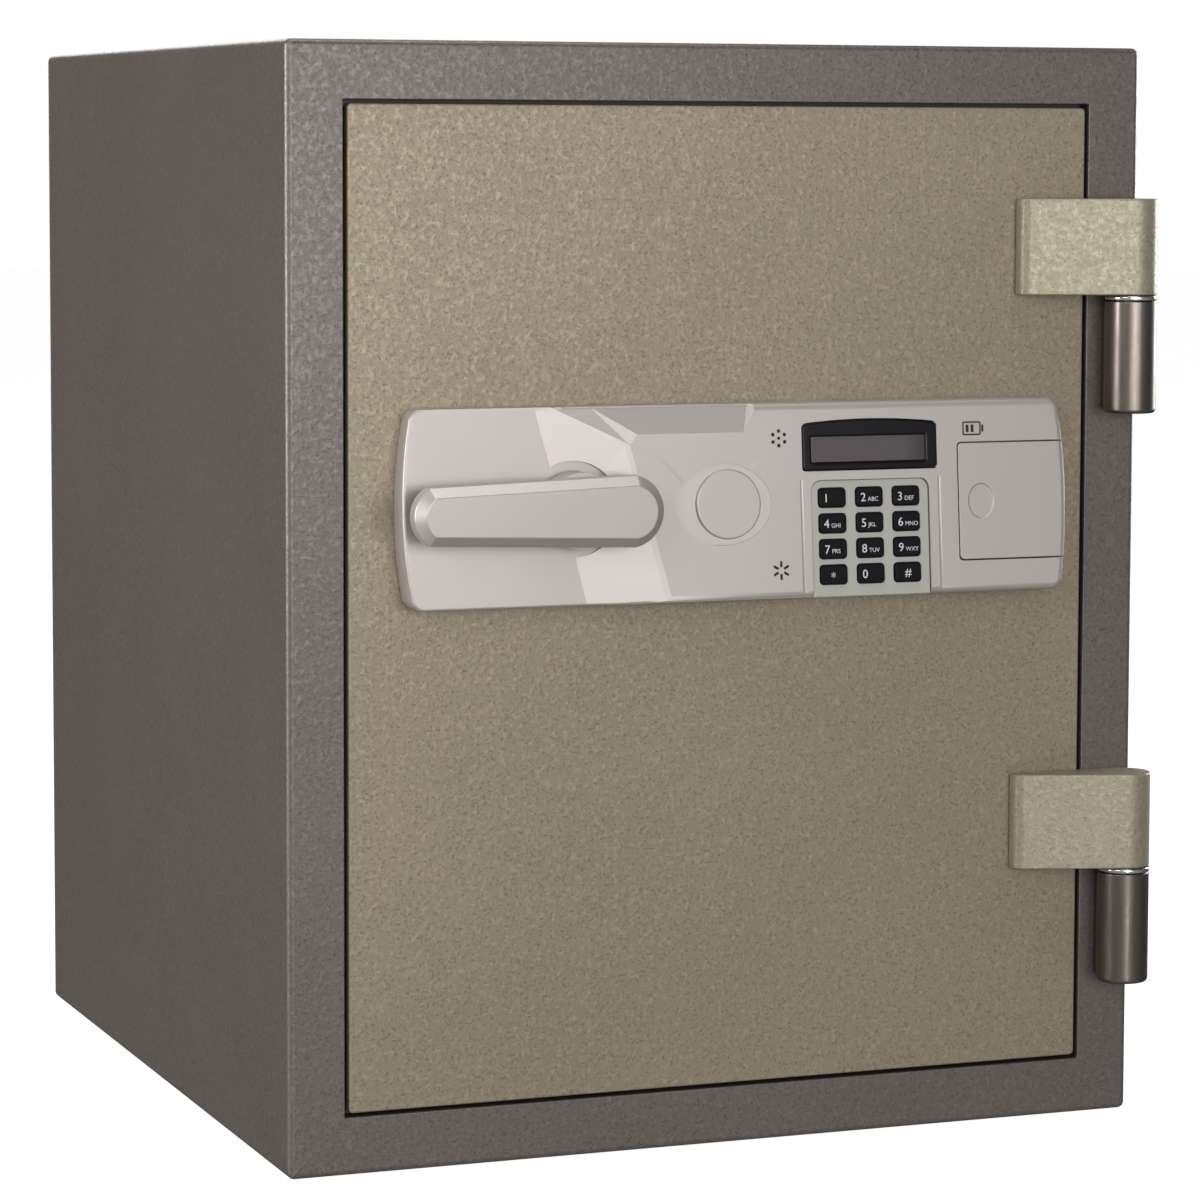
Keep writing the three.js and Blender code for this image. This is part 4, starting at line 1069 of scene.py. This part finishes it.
def lever():
    """The lever handle: a bar with broad chamfers all round and two rounded ends, on its collar."""
    bar = box("handle")
    collar = box("hub_collar")
    axis = axis_of("handle_turn")

    def bar_outline(shrink):
        """The bar's outline, with its two end arcs and straight edges moved in by `shrink`."""
        outline = []
        for (radius, half), centre, start in (
                (HUB_END, bar.right - HUB_END[0], 0.0), (FREE_END, bar.left + FREE_END[0], math.pi)):
            reach = math.asin((half - shrink) / (radius - shrink))
            steps = 28
            for step in range(steps + 1):
                angle = start + reach * (2 * step / steps - 1)
                along = Vector((math.cos(angle), math.sin(angle))) * (radius - shrink)
                outline.append(Vector((centre, axis.z)) + along)
        return outline

    levels = [(bar_outline(0.8), bar.back), (bar_outline(0.25), bar.back - 0.25),
              (bar_outline(0.0), bar.back - 0.8), (bar_outline(0.0), bar.front + BAR_CHAMFER),
              (bar_outline(BAR_CHAMFER), bar.front)]
    handle = loft("lever", levels, from_front)
    soften(handle, 0.45, 3, 20, lambda p: p.y < bar.front + BAR_CHAMFER + 1)
    finish_piece(handle, "handle", HANDLE_METAL, ["handle"])
    ring = soft_prism("lever_collar", circle(axis.x, axis.z, (collar.right - collar.left) / 2),
                      collar.back, collar.front, 0.1, 0.1, from_front)
    cut(ring, prism("bore", circle(axis.x, axis.z, COLLAR_BORE, 40), -5, AHEAD, from_front))
    finish_piece(ring, "handle", PANEL_PLASTIC, ["hub_collar"])


# ---------------------------------------------------------------- CAD nodes that stay

KEPT = {
    "door_jamb": JAMB_PAINTED_SHADE, "door_tray": JAMB_PAINTED_SHADE, "inner_liner": LINER_PAINT, "shelf": LINER_PAINT,
    "fire_filling": PLASTER, "door_filling": PLASTER, "door_seal": BLACK_RUBBER,
    "key_mat": BLACK_RUBBER, "anchor_plug_left": BLACK_RUBBER, "anchor_plug_right": BLACK_RUBBER,
    "hinge_pin_lower": STEEL, "hinge_pin_upper": STEEL, "bolt_chassis": STEEL, "spindle": STEEL,
    "handle_cam": STEEL, "bolt_carriage": STEEL, "solenoid_body": STEEL, "solenoid_plunger": CHROME,
    "key_cylinder": BRASS, "key_plug": BRASS, "circuit_board": CIRCUIT,
}


def dress_cad_nodes():
    for name, material in KEPT.items():
        node = frame["nodes"][name]
        node.data.materials.clear()
        node.data.materials.append(material)


# ---------------------------------------------------------------- studio


def floor():
    radius = 14.0
    sides = [Vector((radius * math.cos(a), radius * math.sin(a), 0))
             for a in (2 * math.pi * i / 96 for i in range(96))]
    ground = mesh_object("floor", [Vector((s.x, s.y, case_low.z - 0.0004)) for s in sides], [range(96)])
    shader = Shader("floor")
    shader.set(Base_Color=tone(120, 120, 119), Roughness=0.9, Emission_Color=(1, 1, 1, 1),
               Emission_Strength=0.96)
    ground.data.materials.append(shader.material)
    ground.visible_glossy = False
    ground.visible_diffuse = False


def area_light(name, azimuth, elevation, distance, width, height, power, colour=(1, 1, 1)):
    """A softbox seen from the safe at an azimuth (0 in front, negative to the left) and elevation."""
    middle = point(215, 0, 300)
    a, e = math.radians(azimuth), math.radians(elevation)
    away = Vector((math.sin(a) * math.cos(e), -math.cos(a) * math.cos(e), math.sin(e)))
    lamp = bpy.data.lights.new(name, "AREA")
    lamp.shape = "RECTANGLE"
    lamp.size, lamp.size_y = width, height
    lamp.energy = power
    lamp.color = colour
    holder = bpy.data.objects.new(name, lamp)
    holder.location = middle + away * distance
    holder.rotation_euler = away.to_track_quat("Z", "Y").to_euler()
    scene.collection.objects.link(holder)


def studio():
    floor()
    area_light("key_light", -2, 6, 2.7, 2.0, 0.9, 29)
    area_light("strip_light", -1, 0, 2.7, 0.12, 2.4, 10)
    area_light("left_light", -48, 22, 2.2, 0.6, 0.8, 11)
    area_light("side_light", -95, 8, 2.7, 1.2, 1.2, 62)
    area_light("right_light", 112, 10, 3.2, 1.2, 1.4, 62)
    area_light("top_light", 0, 86, 2.4, 1.4, 1.4, 30)
    area_light("back_light", 170, 30, 3.0, 1.6, 1.6, 30)
    world = bpy.data.worlds.new("studio")
    scene.world = world
    world.use_nodes = True
    tree = world.node_tree
    tree.nodes.clear()
    place = tree.nodes.new("ShaderNodeTexCoord")
    towards = tree.nodes.new("ShaderNodeVectorMath")
    towards.operation = "DOT_PRODUCT"
    towards.inputs[1].default_value = Vector((-0.25, -0.8, -0.55)).normalized()
    spread = tree.nodes.new("ShaderNodeMapRange")
    spread.inputs["From Min"].default_value = -0.3
    spread.inputs["To Min"].default_value = 0.08
    spread.inputs["To Max"].default_value = 0.55
    lighting = tree.nodes.new("ShaderNodeBackground")
    seen = tree.nodes.new("ShaderNodeBackground")
    seen.inputs["Strength"].default_value = 1.0
    seen.inputs["Color"].default_value = (1, 1, 1, 1)
    path = tree.nodes.new("ShaderNodeLightPath")
    blend = tree.nodes.new("ShaderNodeMixShader")
    output = tree.nodes.new("ShaderNodeOutputWorld")
    tree.links.new(place.outputs["Generated"], towards.inputs[0])
    tree.links.new(towards.outputs["Value"], spread.inputs["Value"])
    tree.links.new(spread.outputs["Result"], lighting.inputs["Strength"])
    tree.links.new(path.outputs["Is Camera Ray"], blend.inputs[0])
    tree.links.new(lighting.outputs[0], blend.inputs[1])
    tree.links.new(seen.outputs[0], blend.inputs[2])
    tree.links.new(blend.outputs[0], output.inputs["Surface"])
    scene.view_settings.view_transform = "Standard"


def camera():
    """Looks from the left of the front, a little above the middle."""
    lens = bpy.data.cameras.new("camera")
    lens.lens = 127.387
    lens.sensor_width = 36.0
    lens.shift_y = -0.08
    holder = bpy.data.objects.new("camera", lens)
    holder.location = (-0.7659, -2.0581, 0.4733)
    holder.rotation_euler = (math.radians(90 - 4.851), math.radians(-0.1815), math.radians(-20.948))
    scene.collection.objects.link(holder)
    scene.camera = holder


case_shell()
back_plate()
for level in ("lower", "upper"):
    hinge(level)
door_plate()
inside_cover()
bolts()
lock_panel()
battery_lid()
cells()
key_cap()
display()
keypad()
lever()
dress_cad_nodes()
studio()
camera()
